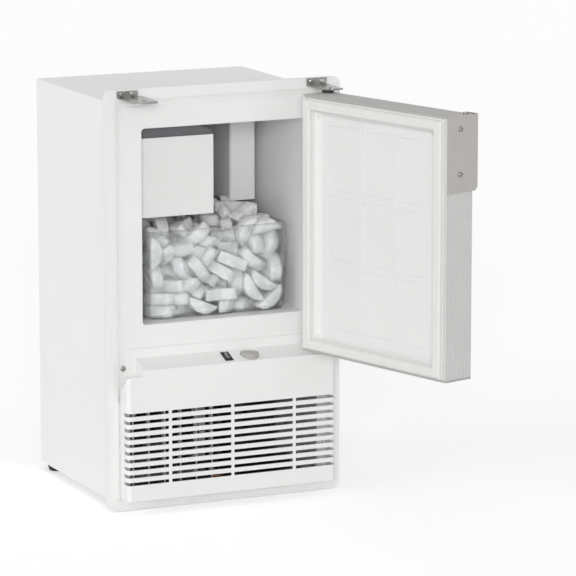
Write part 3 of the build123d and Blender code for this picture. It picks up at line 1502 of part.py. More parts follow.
def terminal_cover():
    """Cover over the compressor's terminals, on its front."""
    front = COMPRESSOR_Y - COMPRESSOR_RADIUS - TERMINAL_DEPTH
    low = can_foot + TERMINAL_LIFT
    width = about(COMPRESSOR_X, TERMINAL_WIDTH)
    box = block(width, (front, COMPRESSOR_Y), (low, low + TERMINAL_HEIGHT))
    return box - rod((COMPRESSOR_X, COMPRESSOR_Y, can_foot), (0, 0, 1), COMPRESSOR_HEIGHT, COMPRESSOR_RADIUS)


def refrigerant_lines():
    """Tubes from compressor to condenser, condenser to drier and evaporator to compressor."""
    return [
        pipe(discharge_points, LINE_RADIUS, LINE_BEND),
        pipe(liquid_points, LINE_RADIUS, LINE_BEND),
        pipe(suction_points, SUCTION_RADIUS, LINE_BEND),
    ]


def capillary():
    """Thin tube from the drier up to the evaporator."""
    return pipe(capillary_points, CAPILLARY_RADIUS, CAPILLARY_BEND)


def filter_drier():
    """Copper capsule with necked ends."""
    body = rod((drier_x, DRIER_Y, drier_z), (0, 1, 0), DRIER_LENGTH, DRIER_RADIUS)
    nose = Plane((drier_x, DRIER_Y - DRIER_NOSE, drier_z), z_dir=(0, 1, 0))
    tail = Plane((drier_x, drier_end, drier_z), z_dir=(0, 1, 0))
    front = Solid.make_cone(LINE_RADIUS, DRIER_RADIUS, DRIER_NOSE, nose)
    rear = Solid.make_cone(DRIER_RADIUS, LINE_RADIUS, DRIER_NOSE, tail)
    return body + front + rear


def water_inlet_valve():
    """Solenoid valve on the back panel with its inlet stub outside."""
    half = VALVE_WIDTH / 2
    body = block((valve_x - half, valve_x + half), (valve_front, skin_back), (valve_foot, valve_top))
    start = (valve_x, skin_back, inlet_z)
    neck_length = SKIN_SHEET + INLET_NECK
    neck = rod(start, (0, 1, 0), neck_length, INLET_RADIUS + INLET_SHOULDER)
    stub = rod((valve_x, skin_back + neck_length, inlet_z), (0, 1, 0), INLET_LENGTH, INLET_RADIUS)
    bore = rod(start, (0, 1, 0), neck_length + INLET_LENGTH, INLET_BORE)
    return body + neck + stub - bore


def fill_tube():
    """Water tube from the valve up to the fill cup."""
    return pipe(fill_points, FILL_RADIUS, FILL_BEND)


def drain_tube():
    """Melt-water drain from the chamber floor to a hose spigot at the back."""
    tube = pipe(drain_points, DRAIN_RADIUS, DRAIN_BEND)
    spigot = rod((DRAIN_X, drain_out, drain_z), (0, 1, 0), DRAIN_SPIGOT, DRAIN_SPIGOT_RADIUS)
    bore_points = drain_points[:-1] + [(DRAIN_X, drain_out + DRAIN_SPIGOT, drain_z)]
    return tube + spigot - pipe(bore_points, DRAIN_BORE, DRAIN_BEND)


def cord_gland():
    """Bushing in the back panel for the supply."""
    start = (gland_x, skin_back, gland_z)
    body = rod(start, (0, 1, 0), SKIN_SHEET + GLAND_LENGTH, GLAND_RADIUS)
    flange = rod((gland_x, CABINET_DEPTH, gland_z), (0, 1, 0), GLAND_FLANGE_THICK, GLAND_FLANGE)
    return body + flange - rod(start, (0, 1, 0), SKIN_SHEET + GLAND_LENGTH, GLAND_BORE)


FIXED = [
    outer_wrapper, back_panel, base_pan, feet, foot_screws, cabinet_insulation, inner_liner, front_flange,
    grille, switch_housing, switch_rocker, thermostat_body, thermostat_knob, top_hinge, bottom_hinge,
    flange_screws, hinge_pins, hinge_washers, strike_plate, ice_bin, ice_heap, icemaker_cover,
    control_housing, ejector_motor, ice_mould, ejector, stripper, icemaker_bracket, mould_heater, fill_cup,
    shutoff_arm, evaporator_cover, evaporator_coil, condenser_tube, condenser_fins, fan_shroud, fan_motor,
    fan_blade, compressor, compressor_grommets, terminal_cover, refrigerant_lines, capillary, filter_drier,
    water_inlet_valve, fill_tube, drain_tube, cord_gland,
]
ON_DOOR = [
    door_outer_panel, door_liner, door_insulation, door_gasket, handle_edge_trim, hinge_edge_trim,
    door_top_cap, door_bottom_cap, latch_bracket, latch_screws, latch_bolt, hinge_bushes,
]


def solids_of(made):
    """The separate solids of a piece or of a group of like pieces."""
    shapes = made if isinstance(made, list) else [made]
    return [solid for shape in shapes for solid in shape.solids()]


os.makedirs("parts", exist_ok=True)
for piece in FIXED + ON_DOOR:
    solids = solids_of(piece())
    if piece in ON_DOOR:
        solids = [swing(solid) for solid in solids]
    export_step(Compound(solids), f"parts/{piece.__name__}.step")
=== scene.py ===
import json
import math
import random

import bmesh
import bpy
from mathutils import Euler, Matrix, Vector


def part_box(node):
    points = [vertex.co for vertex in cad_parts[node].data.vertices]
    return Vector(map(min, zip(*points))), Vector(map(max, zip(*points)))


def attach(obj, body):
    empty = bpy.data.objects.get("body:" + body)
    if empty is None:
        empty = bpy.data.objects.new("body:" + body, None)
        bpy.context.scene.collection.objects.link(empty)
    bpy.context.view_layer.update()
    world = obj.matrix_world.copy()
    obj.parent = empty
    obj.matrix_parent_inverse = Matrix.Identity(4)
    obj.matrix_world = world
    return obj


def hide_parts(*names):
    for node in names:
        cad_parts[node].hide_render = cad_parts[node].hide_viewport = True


# Built-in crescent ice maker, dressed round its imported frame. Metres, in the frame's own axes.
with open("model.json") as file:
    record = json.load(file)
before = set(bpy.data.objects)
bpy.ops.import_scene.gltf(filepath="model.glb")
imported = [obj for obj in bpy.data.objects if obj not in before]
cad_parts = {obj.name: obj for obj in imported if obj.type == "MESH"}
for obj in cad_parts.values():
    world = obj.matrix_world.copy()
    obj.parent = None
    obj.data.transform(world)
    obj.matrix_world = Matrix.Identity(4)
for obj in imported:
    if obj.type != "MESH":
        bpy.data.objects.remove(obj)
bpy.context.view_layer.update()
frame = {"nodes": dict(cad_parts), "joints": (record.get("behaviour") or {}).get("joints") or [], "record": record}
MM = 0.001

# Door hinge: axis in plan and how far the door stands open
HINGE = next(joint for joint in frame["joints"] if joint["name"] == "door_hinge")
PIN_X, PIN_Y = HINGE["pos_m"][:2]
DOOR_OPEN = math.radians(-HINGE["range_deg"][0])


# Colours and materials

# Sockets of a Mix node for colours, by number
FACTOR, FIRST, SECOND, MIXED = 0, 6, 7, 2
# Where nearly all values of a noise lie, for gloss and for the air in the ice
CLOUD_LOW, CLOUD_HIGH = 0.3, 0.7
AIR_LOW, AIR_HIGH = 0.35, 0.65
GRAIN_STRENGTH = 0.6


def tone(code):
    """Linear colour of an sRGB hex value."""
    parts = [int(code[i:i + 2], 16) / 255 for i in (1, 3, 5)]
    return [v / 12.92 if v <= 0.04045 else ((v + 0.055) / 1.055) ** 2.4 for v in parts] + [1.0]


def add(tree, kind, inputs=(), **settings):
    """Adds one node with its settings and its links."""
    made = tree.nodes.new(kind)
    for key, value in settings.items():
        setattr(made, key, value)
    for socket, value in dict(inputs).items():
        if isinstance(value, bpy.types.NodeSocket):
            tree.links.new(value, made.inputs[socket])
        else:
            made.inputs[socket].default_value = value
    return made


def start(name, **sockets):
    """A material with its shader's plain values, its tree and its Object coordinates."""
    made = bpy.data.materials.new(name)
    made.use_nodes = True
    tree = made.node_tree
    shader = tree.nodes["Principled BSDF"]
    for socket, value in sockets.items():
        shader.inputs[socket.replace("_", " ")].default_value = value
    place = add(tree, "ShaderNodeTexCoord").outputs["Object"]
    return made, tree, shader, place


def surface(name, light, dark, rough, patch, grain, depth, stretch=(1, 1, 1), **sockets):
    """Patches of two tones and of gloss, with a fine grain in relief. Sizes in millimetres."""
    made, tree, shader, place = start(name, **sockets)
    cloud = add(
        tree, "ShaderNodeTexNoise", {"Vector": place, "Scale": 1 / (patch * MM), "Detail": 3.0}
    )
    tint = add(
        tree,
        "ShaderNodeMix",
        {FACTOR: cloud.outputs["Fac"], FIRST: tone(dark), SECOND: tone(light)},
        data_type="RGBA",
    )
    tree.links.new(tint.outputs[MIXED], shader.inputs["Base Color"])
    gloss = add(
        tree,
        "ShaderNodeMapRange",
        {
            "Value": cloud.outputs["Fac"],
            "From Min": CLOUD_LOW,
            "From Max": CLOUD_HIGH,
            "To Min": rough[0],
            "To Max": rough[1],
        },
    )
    tree.links.new(gloss.outputs["Result"], shader.inputs["Roughness"])
    drawn = add(tree, "ShaderNodeMapping", {"Vector": place, "Scale": stretch})
    pits = add(
        tree,
        "ShaderNodeTexNoise",
        {"Vector": drawn.outputs["Vector"], "Scale": 1 / (grain * MM), "Detail": 2.0},
    )
    bump = add(
        tree,
        "ShaderNodeBump",
        {"Height": pits.outputs["Fac"], "Strength": GRAIN_STRENGTH, "Distance": depth * MM},
    )
    tree.links.new(bump.outputs["Normal"], shader.inputs["Normal"])
    return made


def spangled(name, light, dark, rough, cell):
    """Galvanised sheet: crystals a few millimetres across, each with its own tone."""
    made, tree, shader, place = start(name, Metallic=1.0)
    crystals = add(tree, "ShaderNodeTexVoronoi", {"Vector": place, "Scale": 1 / (cell * MM)})
    split = add(tree, "ShaderNodeSeparateColor", {"Color": crystals.outputs["Color"]})
    tint = add(
        tree,
        "ShaderNodeMix",
        {FACTOR: split.outputs["Red"], FIRST: tone(dark), SECOND: tone(light)},
        data_type="RGBA",
    )
    tree.links.new(tint.outputs[MIXED], shader.inputs["Base Color"])
    gloss = add(
        tree,
        "ShaderNodeMapRange",
        {"Value": split.outputs["Green"], "To Min": rough[0], "To Max": rough[1]},
    )
    tree.links.new(gloss.outputs["Result"], shader.inputs["Roughness"])
    return made


def clear_styrene(swirl=30, depth=0.4):
    """Clear moulded polystyrene, thin enough to let most light straight in, with a faint swirl."""
    made, tree, shader, place = start(
        "clear_polystyrene", Roughness=0.04, IOR=1.59, Transmission_Weight=1.0, Alpha=0.4
    )
    shader.inputs["Base Color"].default_value = tone("#F6F9FA")
    flow = add(
        tree, "ShaderNodeTexNoise", {"Vector": place, "Scale": 1 / (swirl * MM), "Detail": 2.0}
    )
    bump = add(
        tree,
        "ShaderNodeBump",
        {"Height": flow.outputs["Fac"], "Strength": 0.3, "Distance": depth * MM},
    )
    tree.links.new(bump.outputs["Normal"], shader.inputs["Normal"])
    return made


def frozen_water(cloud=22, ripple=6, depth=1.0, clear=(0.22, 0.0), rough=(0.12, 0.35)):
    """Mould-frozen ice: wet gloss, cloudy white where air is trapped and clearer between."""
    made, tree, shader, place = start(
        "frozen_water", IOR=1.31, Subsurface_Weight=0.8, Subsurface_Scale=14 * MM
    )
    shader.inputs["Subsurface Radius"].default_value = (1.0, 1.0, 1.0)
    air = add(
        tree, "ShaderNodeTexNoise", {"Vector": place, "Scale": 1 / (cloud * MM), "Detail": 4.0}
    )
    tint = add(
        tree,
        "ShaderNodeMix",
        {FACTOR: air.outputs["Fac"], FIRST: tone("#F3F5F6"), SECOND: tone("#FCFCFC")},
        data_type="RGBA",
    )
    tree.links.new(tint.outputs[MIXED], shader.inputs["Base Color"])
    for socket, least, most in (("Transmission Weight", *clear), ("Roughness", *rough)):
        share = add(
            tree,
            "ShaderNodeMapRange",
            {
                "Value": air.outputs["Fac"],
                "From Min": AIR_LOW,
                "From Max": AIR_HIGH,
                "To Min": least,
                "To Max": most,
            },
        )
        tree.links.new(share.outputs["Result"], shader.inputs[socket])
    melt = add(
        tree, "ShaderNodeTexNoise", {"Vector": place, "Scale": 1 / (ripple * MM), "Detail": 2.0}
    )
    bump = add(
        tree,
        "ShaderNodeBump",
        {"Height": melt.outputs["Fac"], "Strength": 0.4, "Distance": depth * MM},
    )
    tree.links.new(bump.outputs["Normal"], shader.inputs["Normal"])
    return made


# Baked enamel on steel sheet: a low orange peel, about 1 mm, drawn at 3 mm so that it shows
ENAMEL = surface(
    "white_baked_enamel", "#F4F4F3", "#EFEFEE", rough=(0.30, 0.38), patch=90, grain=3, depth=0.05
)
# ABS moulded in a finely eroded tool: satin, even white
ABS = surface(
    "white_moulded_abs", "#F1F1F0", "#ECECEB", rough=(0.38, 0.46), patch=70, grain=2, depth=0.04
)
# The same ABS on the covers in the chamber, with painted shade: a tone greyer for the dimmer light inside the
# chamber
SHADED_COVER_ABS = surface(
    "moulded_abs_with_painted_shade", "#E9E9E8", "#E4E4E3", rough=(0.38, 0.46), patch=60, grain=2, depth=0.04
)
# High-impact polystyrene drawn over a form: soft gloss with slow waves
STYRENE = surface(
    "white_formed_polystyrene", "#F2F2F1", "#EDEDED",
    rough=(0.28, 0.36), patch=80, grain=26, depth=0.12,
)
# The door's panel is the same drawn polystyrene, with painted shade: a greyer tone for the dimmer light on the
# door's inner face
SHADED_DOOR_STYRENE = surface(
    "formed_polystyrene_with_painted_shade", "#E7E7E6", "#E2E2E1",
    rough=(0.30, 0.38), patch=80, grain=26, depth=0.10,
)
# Soft PVC extrusion: dull white
VINYL = surface(
    "white_soft_vinyl", "#E4E4E2", "#DDDDDB", rough=(0.50, 0.60), patch=40, grain=2, depth=0.04
)
# Ribbed rigid PVC extrusion: pale grey
RIBBED_VINYL = surface(
    "pale_grey_rigid_vinyl", "#D6D6D5", "#CDCDCC", rough=(0.40, 0.48), patch=50, grain=2, depth=0.03
)
# Grey ABS of the end caps and the knob: satin
GREY_ABS = surface(
    "grey_moulded_abs", "#B5B3B0", "#ADABA8", rough=(0.42, 0.50), patch=50, grain=2, depth=0.05
)
# Glass-filled nylon: dark, slightly mottled by the fibres
DARK_NYLON = surface(
    "dark_grey_filled_nylon", "#66676A", "#5A5B5E",
    rough=(0.45, 0.55), patch=12, grain=1.5, depth=0.05,
)
# Plain moulded nylon: black with a dull sheen
BLACK_NYLON = surface(
    "black_nylon", "#222223", "#191919", rough=(0.40, 0.50), patch=12, grain=1.5, depth=0.04
)
# Stainless sheet brushed along its length: streaks about 1 mm wide and 60 mm long
STAINLESS = surface(
    "brushed_stainless", "#BDBAB6", "#B0ADA9", rough=(0.30, 0.40), patch=25, grain=1.2, depth=0.02,
    stretch=(1, 1, 0.02), Metallic=1.0,
)
# Bright zinc plating on pressed steel: glossy and unevenly grey
ZINC = surface(
    "zinc_plated_steel", "#B0AFAD", "#868583", rough=(0.16, 0.28), patch=8, grain=3, depth=0.03,
    Metallic=1.0,
)
# Hot-dipped zinc on sheet: dull spangles about 9 mm across
GALVANISED = spangled("galvanised_sheet", "#C3C7C9", "#AEB3B6", rough=(0.32, 0.46), cell=9)
# Rubber feet and grommets: dull black with a dusty bloom
RUBBER = surface(
    "black_rubber", "#242424", "#171717", rough=(0.65, 0.80), patch=14, grain=1.5, depth=0.06
)
# Mill-finish aluminium: pale, half dull
ALUMINIUM = surface(
    "mill_aluminium", "#D3D5D6", "#C0C3C5", rough=(0.28, 0.40), patch=15, grain=2, depth=0.02,
    Metallic=1.0,
)
# Drawn copper, slightly browned
COPPER = surface(
    "drawn_copper", "#C98C68", "#A86A48", rough=(0.25, 0.40), patch=18, grain=3, depth=0.02,
    Metallic=1.0,
)
# Black stoving enamel on the compressor, the motors and the condenser's tube: glossy
BLACK_ENAMEL = surface(
    "black_stove_enamel", "#1B1B1C", "#131314", rough=(0.22, 0.32), patch=30, grain=2, depth=0.05
)
# Rigid urethane foam: pale straw with small cells
FOAM = surface(
    "urethane_foam", "#E9DDB6", "#DCCB9C", rough=(0.80, 0.92), patch=10, grain=1.5, depth=0.4
)
# Natural nylon tube and mouldings: milky
NATURAL_NYLON = surface(
    "natural_nylon", "#E4E3DA", "#D9D8CD", rough=(0.35, 0.45), patch=25, grain=2, depth=0.03
)
# Moulded nylon of the rocker: mid grey with a soft gloss
SWITCH_GREY = surface(
    "grey_rocker_nylon", "#8F9092", "#7E7F81", rough=(0.30, 0.40), patch=10, grain=1.5, depth=0.04
)
CLEAR = clear_styrene()
ICE = frozen_water()

NODE_MATERIALS = {
    ENAMEL: ["outer_wrapper", "door_outer_panel", "condenser_fins"],
    ABS: ["front_flange", "grille", "hinge_edge_trim"],
    SHADED_COVER_ABS: ["icemaker_cover", "evaporator_cover"],
    STYRENE: ["inner_liner"],
    SHADED_DOOR_STYRENE: ["door_liner"],
    VINYL: ["door_gasket"],
    RIBBED_VINYL: ["handle_edge_trim"],
    GREY_ABS: ["door_top_cap", "door_bottom_cap", "thermostat_knob"],
    DARK_NYLON: ["control_housing"],
    BLACK_NYLON: ["switch_housing", "thermostat_body", "terminal_cover", "cord_gland",
                  "hinge_washers", "hinge_bushes", "fan_blade"],
    SWITCH_GREY: ["switch_rocker"],
    STAINLESS: ["latch_bracket"],
    ZINC: ["top_hinge", "bottom_hinge", "hinge_pins", "strike_plate", "latch_bolt",
           "flange_screws", "latch_screws", "foot_screws", "shutoff_arm"],
    GALVANISED: ["back_panel", "base_pan", "fan_shroud", "icemaker_bracket"],
    RUBBER: ["feet", "compressor_grommets"],
    ALUMINIUM: ["ice_mould", "evaporator_coil", "mould_heater"],
    COPPER: ["refrigerant_lines", "capillary", "filter_drier"],
    BLACK_ENAMEL: ["compressor", "fan_motor", "ejector_motor", "condenser_tube"],
    FOAM: ["cabinet_insulation", "door_insulation"],
    NATURAL_NYLON: ["ejector", "stripper", "fill_cup", "fill_tube", "drain_tube",
                    "water_inlet_valve"],
    CLEAR: ["ice_bin"],
    ICE: ["ice_heap"],
}
BODIES = frame["record"]["behaviour"]["bodies"]
BODY_OF = {node: body for body, nodes in BODIES.items() for node in nodes}
FINISH_OF = {node: finish for finish, nodes in NODE_MATERIALS.items() for node in nodes}
for name, finish in FINISH_OF.items():
    frame["nodes"][name].data.materials.clear()
    frame["nodes"][name].data.materials.append(finish)


# Working by hand in code

SHARP_EDGE = math.radians(30)
MERGE_WITHIN = 1e-6
FLAT_WITHIN = math.radians(0.5)
ROUND_STEPS = 2
# How square a face stands to an axis, by its normal
FACING = 0.9


def only(piece):
    """Selects one object and makes it the active one."""
    bpy.ops.object.select_all(action="DESELECT")
    piece.select_set(True)
    bpy.context.view_layer.objects.active = piece


def edit(piece):
    """Opens one object for shaping."""
    only(piece)
    bpy.ops.object.mode_set(mode="EDIT")


def done():
    """Closes the object that is open."""
    bpy.ops.object.mode_set(mode="OBJECT")


def pick(kind, test):
    """Selects the open mesh's faces or edges whose middle passes a test."""
    bpy.ops.mesh.select_mode(type=kind)
    bpy.ops.mesh.select_all(action="DESELECT")
    mesh = bmesh.from_edit_mesh(bpy.context.edit_object.data)
    if kind == "FACE":
        places = [(face, face.calc_center_median(), face.normal) for face in mesh.faces]
    else:
        places = [(edge, (edge.verts[0].co + edge.verts[1].co) / 2, edge) for edge in mesh.edges]
    for part, middle, extra in places:
        if test(middle, extra):
            part.select_set(True)
    mesh.select_flush(True)
    bmesh.update_edit_mesh(bpy.context.edit_object.data)


def sharp(edge):
    """True for an edge between two faces that meet at an angle."""
    return len(edge.link_faces) == 2 and edge.calc_face_angle(0) > SHARP_EDGE


def apply_all(piece):
    """Applies a piece's modifiers in their order."""
    only(piece)
    for modifier in list(piece.modifiers):
        bpy.ops.object.modifier_apply(modifier=modifier.name)


def settle(piece):
    """Puts an object's place into its mesh: it sits at the origin, unturned and unscaled."""
    only(piece)
    bpy.ops.object.transform_apply(location=True, rotation=True, scale=True)


def block(size, middle):
    """A box to start from, at its size and place."""
    bpy.ops.object.select_all(action="DESELECT")
    bpy.ops.mesh.primitive_cube_add(size=1, location=middle)
    piece = bpy.context.object
    piece.scale = size
    settle(piece)
    return piece


def copy_of(source, name):
    """A copy of an object, with its own mesh."""
    copy = bpy.data.objects.new(name, source.data.copy())
    bpy.context.scene.collection.objects.link(copy)
    return copy


def joined(pieces):
    """Joins pieces into the first of them."""
    only(pieces[0])
    for piece in pieces:
        piece.select_set(True)
    bpy.ops.object.join()
    return pieces[0]


def turn_about_pin(piece, angle):
    """Turns a piece's mesh about the door's hinge."""
    pin = Matrix.Translation((PIN_X, PIN_Y, 0))
    piece.data.transform(pin @ Matrix.Rotation(angle, 4, "Z") @ pin.inverted())


def rounded(piece, width, degrees=40):
    """Rounds the edges that are sharper than an angle."""
    round_off = piece.modifiers.new("round_off", "BEVEL")
    round_off.width = width
    round_off.segments = ROUND_STEPS
    round_off.limit_method = "ANGLE"
    round_off.angle_limit = math.radians(degrees)
    apply_all(piece)


def smooth(piece, degrees=40):
    """Smooth shading across soft edges, with wide flat faces kept flat."""
    only(piece)
    bpy.ops.object.shade_smooth_by_angle(angle=math.radians(degrees))
    even = piece.modifiers.new("even", "WEIGHTED_NORMAL")
    even.weight = 100
    even.keep_sharp = True
    apply_all(piece)


def stand_for(piece, node):
    """Lets a piece stand for a CAD node: same body, that node's finish, the node hidden."""
    piece.data.materials.clear()
    piece.data.materials.append(FINISH_OF[node])
    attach(piece, BODY_OF[node])
    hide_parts(node)


def merged_copy(node, name):
    """A copy of a CAD node with its loose triangles joined into whole faces."""
    piece = copy_of(frame["nodes"][node], name)
    edit(piece)
    bpy.ops.mesh.select_all(action="SELECT")
    bpy.ops.mesh.remove_doubles(threshold=MERGE_WITHIN)
    bpy.ops.mesh.dissolve_limited(angle_limit=FLAT_WITHIN)
    done()
    return piece


def eased(node, width):
    """A CAD node with its sharp edges rounded, as moulding, bending or tumbling leaves them."""
    piece = merged_copy(node, node + "_eased")
    rounded(piece, width * MM)
    smooth(piece)
    stand_for(piece, node)


# Pieces whose edges are eased, with the width of the round in millimetres
EASED = {
    "outer_wrapper": 0.4, "front_flange": 1.2, "grille": 0.5, "icemaker_cover": 0.8,
    "control_housing": 0.8, "evaporator_cover": 0.8, "top_hinge": 0.5, "bottom_hinge": 0.5,
    "strike_plate": 0.5, "latch_bracket": 0.4, "latch_bolt": 0.6, "door_top_cap": 1.0,
    "door_bottom_cap": 1.0, "hinge_edge_trim": 1.0, "switch_rocker": 0.5, "switch_housing": 0.4,
    "thermostat_knob": 0.4, "feet": 1.0, "handle_edge_trim": 0.3, "back_panel": 0.3,
}
for node, width in EASED.items():
    eased(node, width)


def chamber_liner():
    """Ice chamber liner: its mouth is drawn with a soft round."""
    piece = merged_copy("inner_liner", "chamber_liner")
    low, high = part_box("inner_liner")
    half_wall = 1.25 * MM
    slack = 0.1 * MM
    mouth_round = 2.0 * MM
    edit(piece)

    def at_mouth(middle, edge):
        across = abs(middle.x) < high.x - half_wall
        inside = across and low.z + half_wall < middle.z < high.z - half_wall
        return middle.y < low.y + slack and inside and sharp(edge)

    pick("EDGE", at_mouth)
    bpy.ops.mesh.bevel(offset=mouth_round, segments=4)
    done()
    smooth(piece)
    stand_for(piece, "inner_liner")


chamber_liner()

# Door closed: the plane that the gasket sits on, at the rim of the door liner's dish
DOOR_RIM_Y = -13.9 * MM


def door_panel():
    """Door liner: its dish and sunk fields have drawn, rounded edges."""
    piece = merged_copy("door_liner", "door_formed_panel")
    turn_about_pin(piece, -DOOR_OPEN)
    floor_y = DOOR_RIM_Y - 7.0 * MM
    field_y = floor_y - 1.0 * MM
    press = 1.0 * MM
    dish_round, field_round = 2.4 * MM, 0.4 * MM
    slack = 0.2 * MM
    # half widths, bottoms and tops that tell the edges of rim, fields and dish's foot apart
    rim_half = 150 * MM
    fields_half, fields_low, fields_high = 117 * MM, 279 * MM, 602 * MM
    foot_half, foot_low, foot_high = 120 * MM, 276 * MM, 604 * MM
    edit(piece)

    def dish_rim(middle, edge):
        return abs(middle.y - DOOR_RIM_Y) < slack and abs(middle.x) < rim_half and sharp(edge)

    def dish_foot(middle, edge):
        outside = abs(middle.x) > foot_half or middle.z > foot_high or middle.z < foot_low
        return abs(middle.y - floor_y) < slack and outside and sharp(edge)

    def field_rim(middle, edge):
        inside = abs(middle.x) < fields_half and fields_low < middle.z < fields_high
        return abs(middle.y - floor_y) < slack and inside and sharp(edge)

    # fields pressed a little deeper, so that their borders catch the light
    pick("FACE", lambda middle, normal: normal.y > FACING and abs(middle.y - field_y) < slack)
    bpy.ops.transform.translate(value=(0, -press, 0))
    for edges in (dish_rim, dish_foot):
        pick("EDGE", edges)
        bpy.ops.mesh.bevel(offset=dish_round, segments=4)
    pick("EDGE", field_rim)
    bpy.ops.mesh.bevel(offset=field_round, segments=2)
    done()
    turn_about_pin(piece, DOOR_OPEN)
    smooth(piece)
    stand_for(piece, "door_liner")


door_panel()


def gasket():
    """Door gasket: a foot, a narrow neck and a soft cushion, welded square at the corners."""
    half, low, high, width = 157 * MM, 244.5 * MM, 636.5 * MM, 20 * MM
    front = -5.4 * MM
    neck_step, cushion_step, crown_step = 2.2 * MM, 1.6 * MM, 2.2 * MM
    foot_share, neck_share, cushion_share, crown_share = 0.25, 0.15, 0.35, 0.25
    bpy.ops.object.select_all(action="DESELECT")
    bpy.ops.mesh.primitive_plane_add(
        size=1, location=(0, DOOR_RIM_Y, (low + high) / 2), rotation=(-math.pi / 2, 0, 0)
    )
    piece = bpy.context.object
    piece.name = "gasket_frame"
    piece.scale = (2 * half, high - low, 1)
    settle(piece)
    edit(piece)
    bpy.ops.mesh.select_all(action="SELECT")
    bpy.ops.mesh.inset(thickness=width)
    bpy.ops.mesh.delete(type="FACE")
    bpy.ops.mesh.select_all(action="SELECT")
    rise = front - DOOR_RIM_Y

    def raised(share):
        bpy.ops.mesh.extrude_region_move(TRANSFORM_OT_translate={"value": (0, share * rise, 0)})

    raised(foot_share)
    bpy.ops.mesh.inset(thickness=neck_step)
    raised(neck_share)
    bpy.ops.mesh.inset(thickness=cushion_step, use_outset=True)
    raised(cushion_share)
    bpy.ops.mesh.inset(thickness=crown_step, depth=crown_share * rise)
    bpy.ops.mesh.select_all(action="SELECT")
    bpy.ops.mesh.normals_make_consistent(inside=False)
    done()
    rounded(piece, 0.7 * MM, 35)
    turn_about_pin(piece, DOOR_OPEN)
    smooth(piece, 50)
    stand_for(piece, "door_gasket")


gasket()

# Pan-head screws with a cross recess
HEAD_RADIUS, HEAD_HEIGHT, HEAD_ROUND = 4.2 * MM, 2.2 * MM, 1.5 * MM
SEAT_WIDTH = 2.2 * MM
TIP_INSET, TIP_DEPTH = 1.2 * MM, 1.0 * MM
RECESS_SIZE, RECESS_Z = (4.4 * MM, 1.1 * MM, 2.4 * MM), 2.0 * MM
# How far the first screw of a set was driven round, and each next one beyond it
FIRST_SPIN, NEXT_SPIN = 25, 40


def cross_screw(length):
    """One screw standing on its head's seat, shank down, head up."""
    bpy.ops.object.select_all(action="DESELECT")
    bpy.ops.mesh.primitive_cylinder_add(
        vertices=24, radius=HEAD_RADIUS, depth=HEAD_HEIGHT, location=(0, 0, HEAD_HEIGHT / 2)
    )
    screw = bpy.context.object
    settle(screw)
    edit(screw)
    pick("EDGE", lambda middle, edge: middle.z > HEAD_HEIGHT - 0.1 * MM)
    bpy.ops.mesh.bevel(offset=HEAD_ROUND, segments=4)
    pick("FACE", lambda middle, normal: normal.z < -FACING)
    bpy.ops.mesh.inset(thickness=SEAT_WIDTH)
    bpy.ops.mesh.extrude_region_move(TRANSFORM_OT_translate={"value": (0, 0, -length)})
    bpy.ops.mesh.inset(thickness=TIP_INSET, depth=TIP_DEPTH)
    done()
    cross = block(RECESS_SIZE, (0, 0, RECESS_Z))
    for angle in (0, math.pi / 2):
        cross.rotation_euler.z = angle
        bpy.context.view_layer.update()
        recess = screw.modifiers.new("recess", "BOOLEAN")
        recess.object = cross
        apply_all(screw)
    bpy.data.objects.remove(cross)
    smooth(screw, 30)
    return screw


def screw_set(name, node, length, seats, facing, closed_door=False):
    """Screws at their seats in millimetres, heads facing along a direction, as one set."""
    master = cross_screw(length)
    turn = Vector(facing).to_track_quat("Z", "Y").to_matrix().to_4x4()
    copies = []
    for number, seat in enumerate(seats):
        copy = copy_of(master, f"{name}_{number}")
        spin = Matrix.Rotation(math.radians(FIRST_SPIN + NEXT_SPIN * number), 4, "Z")
        copy.data.transform(Matrix.Translation(Vector(seat) * MM) @ turn @ spin)
        copies.append(copy)
    bpy.data.objects.remove(master)
    screws = joined(copies)
    screws.name = name
    if closed_door:
        turn_about_pin(screws, DOOR_OPEN)
    stand_for(screws, node)


FLANGE_SEATS = [
    (147, -10.5, 652.5), (165, -10.5, 652.5), (147, -7.5, 220.5), (165.7, -7.5, 220.5),
    (-169.5, -5, 225.2), (-170, -10, 650.5), (-152, -10, 650.5),
]
screw_set("flange_screw_set", "flange_screws", 4.6 * MM, FLANGE_SEATS, (0, -1, 0))
LATCH_SEATS = [(-162.5, -40.2, 620.5), (-162.5, -40.2, 552.5)]
screw_set("latch_screw_set", "latch_screws", 13 * MM, LATCH_SEATS, (-1, 0, 0), closed_door=True)
FOOT_SEATS = [(x, y, 5.25) for x in (-162, 162) for y in (30, 296)]
screw_set("foot_screw_set", "foot_screws", 10.5 * MM, FOOT_SEATS, (0, 0, -1))


# Ice bin: one clear moulding with drafted walls, a round foot, a rolled rim and two clips in front
BIN_HALF, BIN_FRONT, BIN_BACK = 119 * MM, 12 * MM, 262 * MM
BIN_FLOOR, BIN_TOP, BIN_DRAFT = 291 * MM, 431.5 * MM, 5 * MM
BIN_WALL, BIN_CORNER, BIN_FOOT = 2.5 * MM, 9 * MM, 6 * MM
BIN_MIDDLE = (BIN_FRONT + BIN_BACK) / 2
RIM_BAND, RIM_ROLL, RIM_ROUND = 3 * MM, 2.4 * MM, 0.6 * MM
CLIP_X, CLIP_OUT, CLIP_DROP = 55 * MM, 1.0 * MM, 6.2 * MM
CLIP_SIZE, CLIP_ROUND = (14 * MM, 2.2 * MM, 6.2 * MM), 0.7 * MM


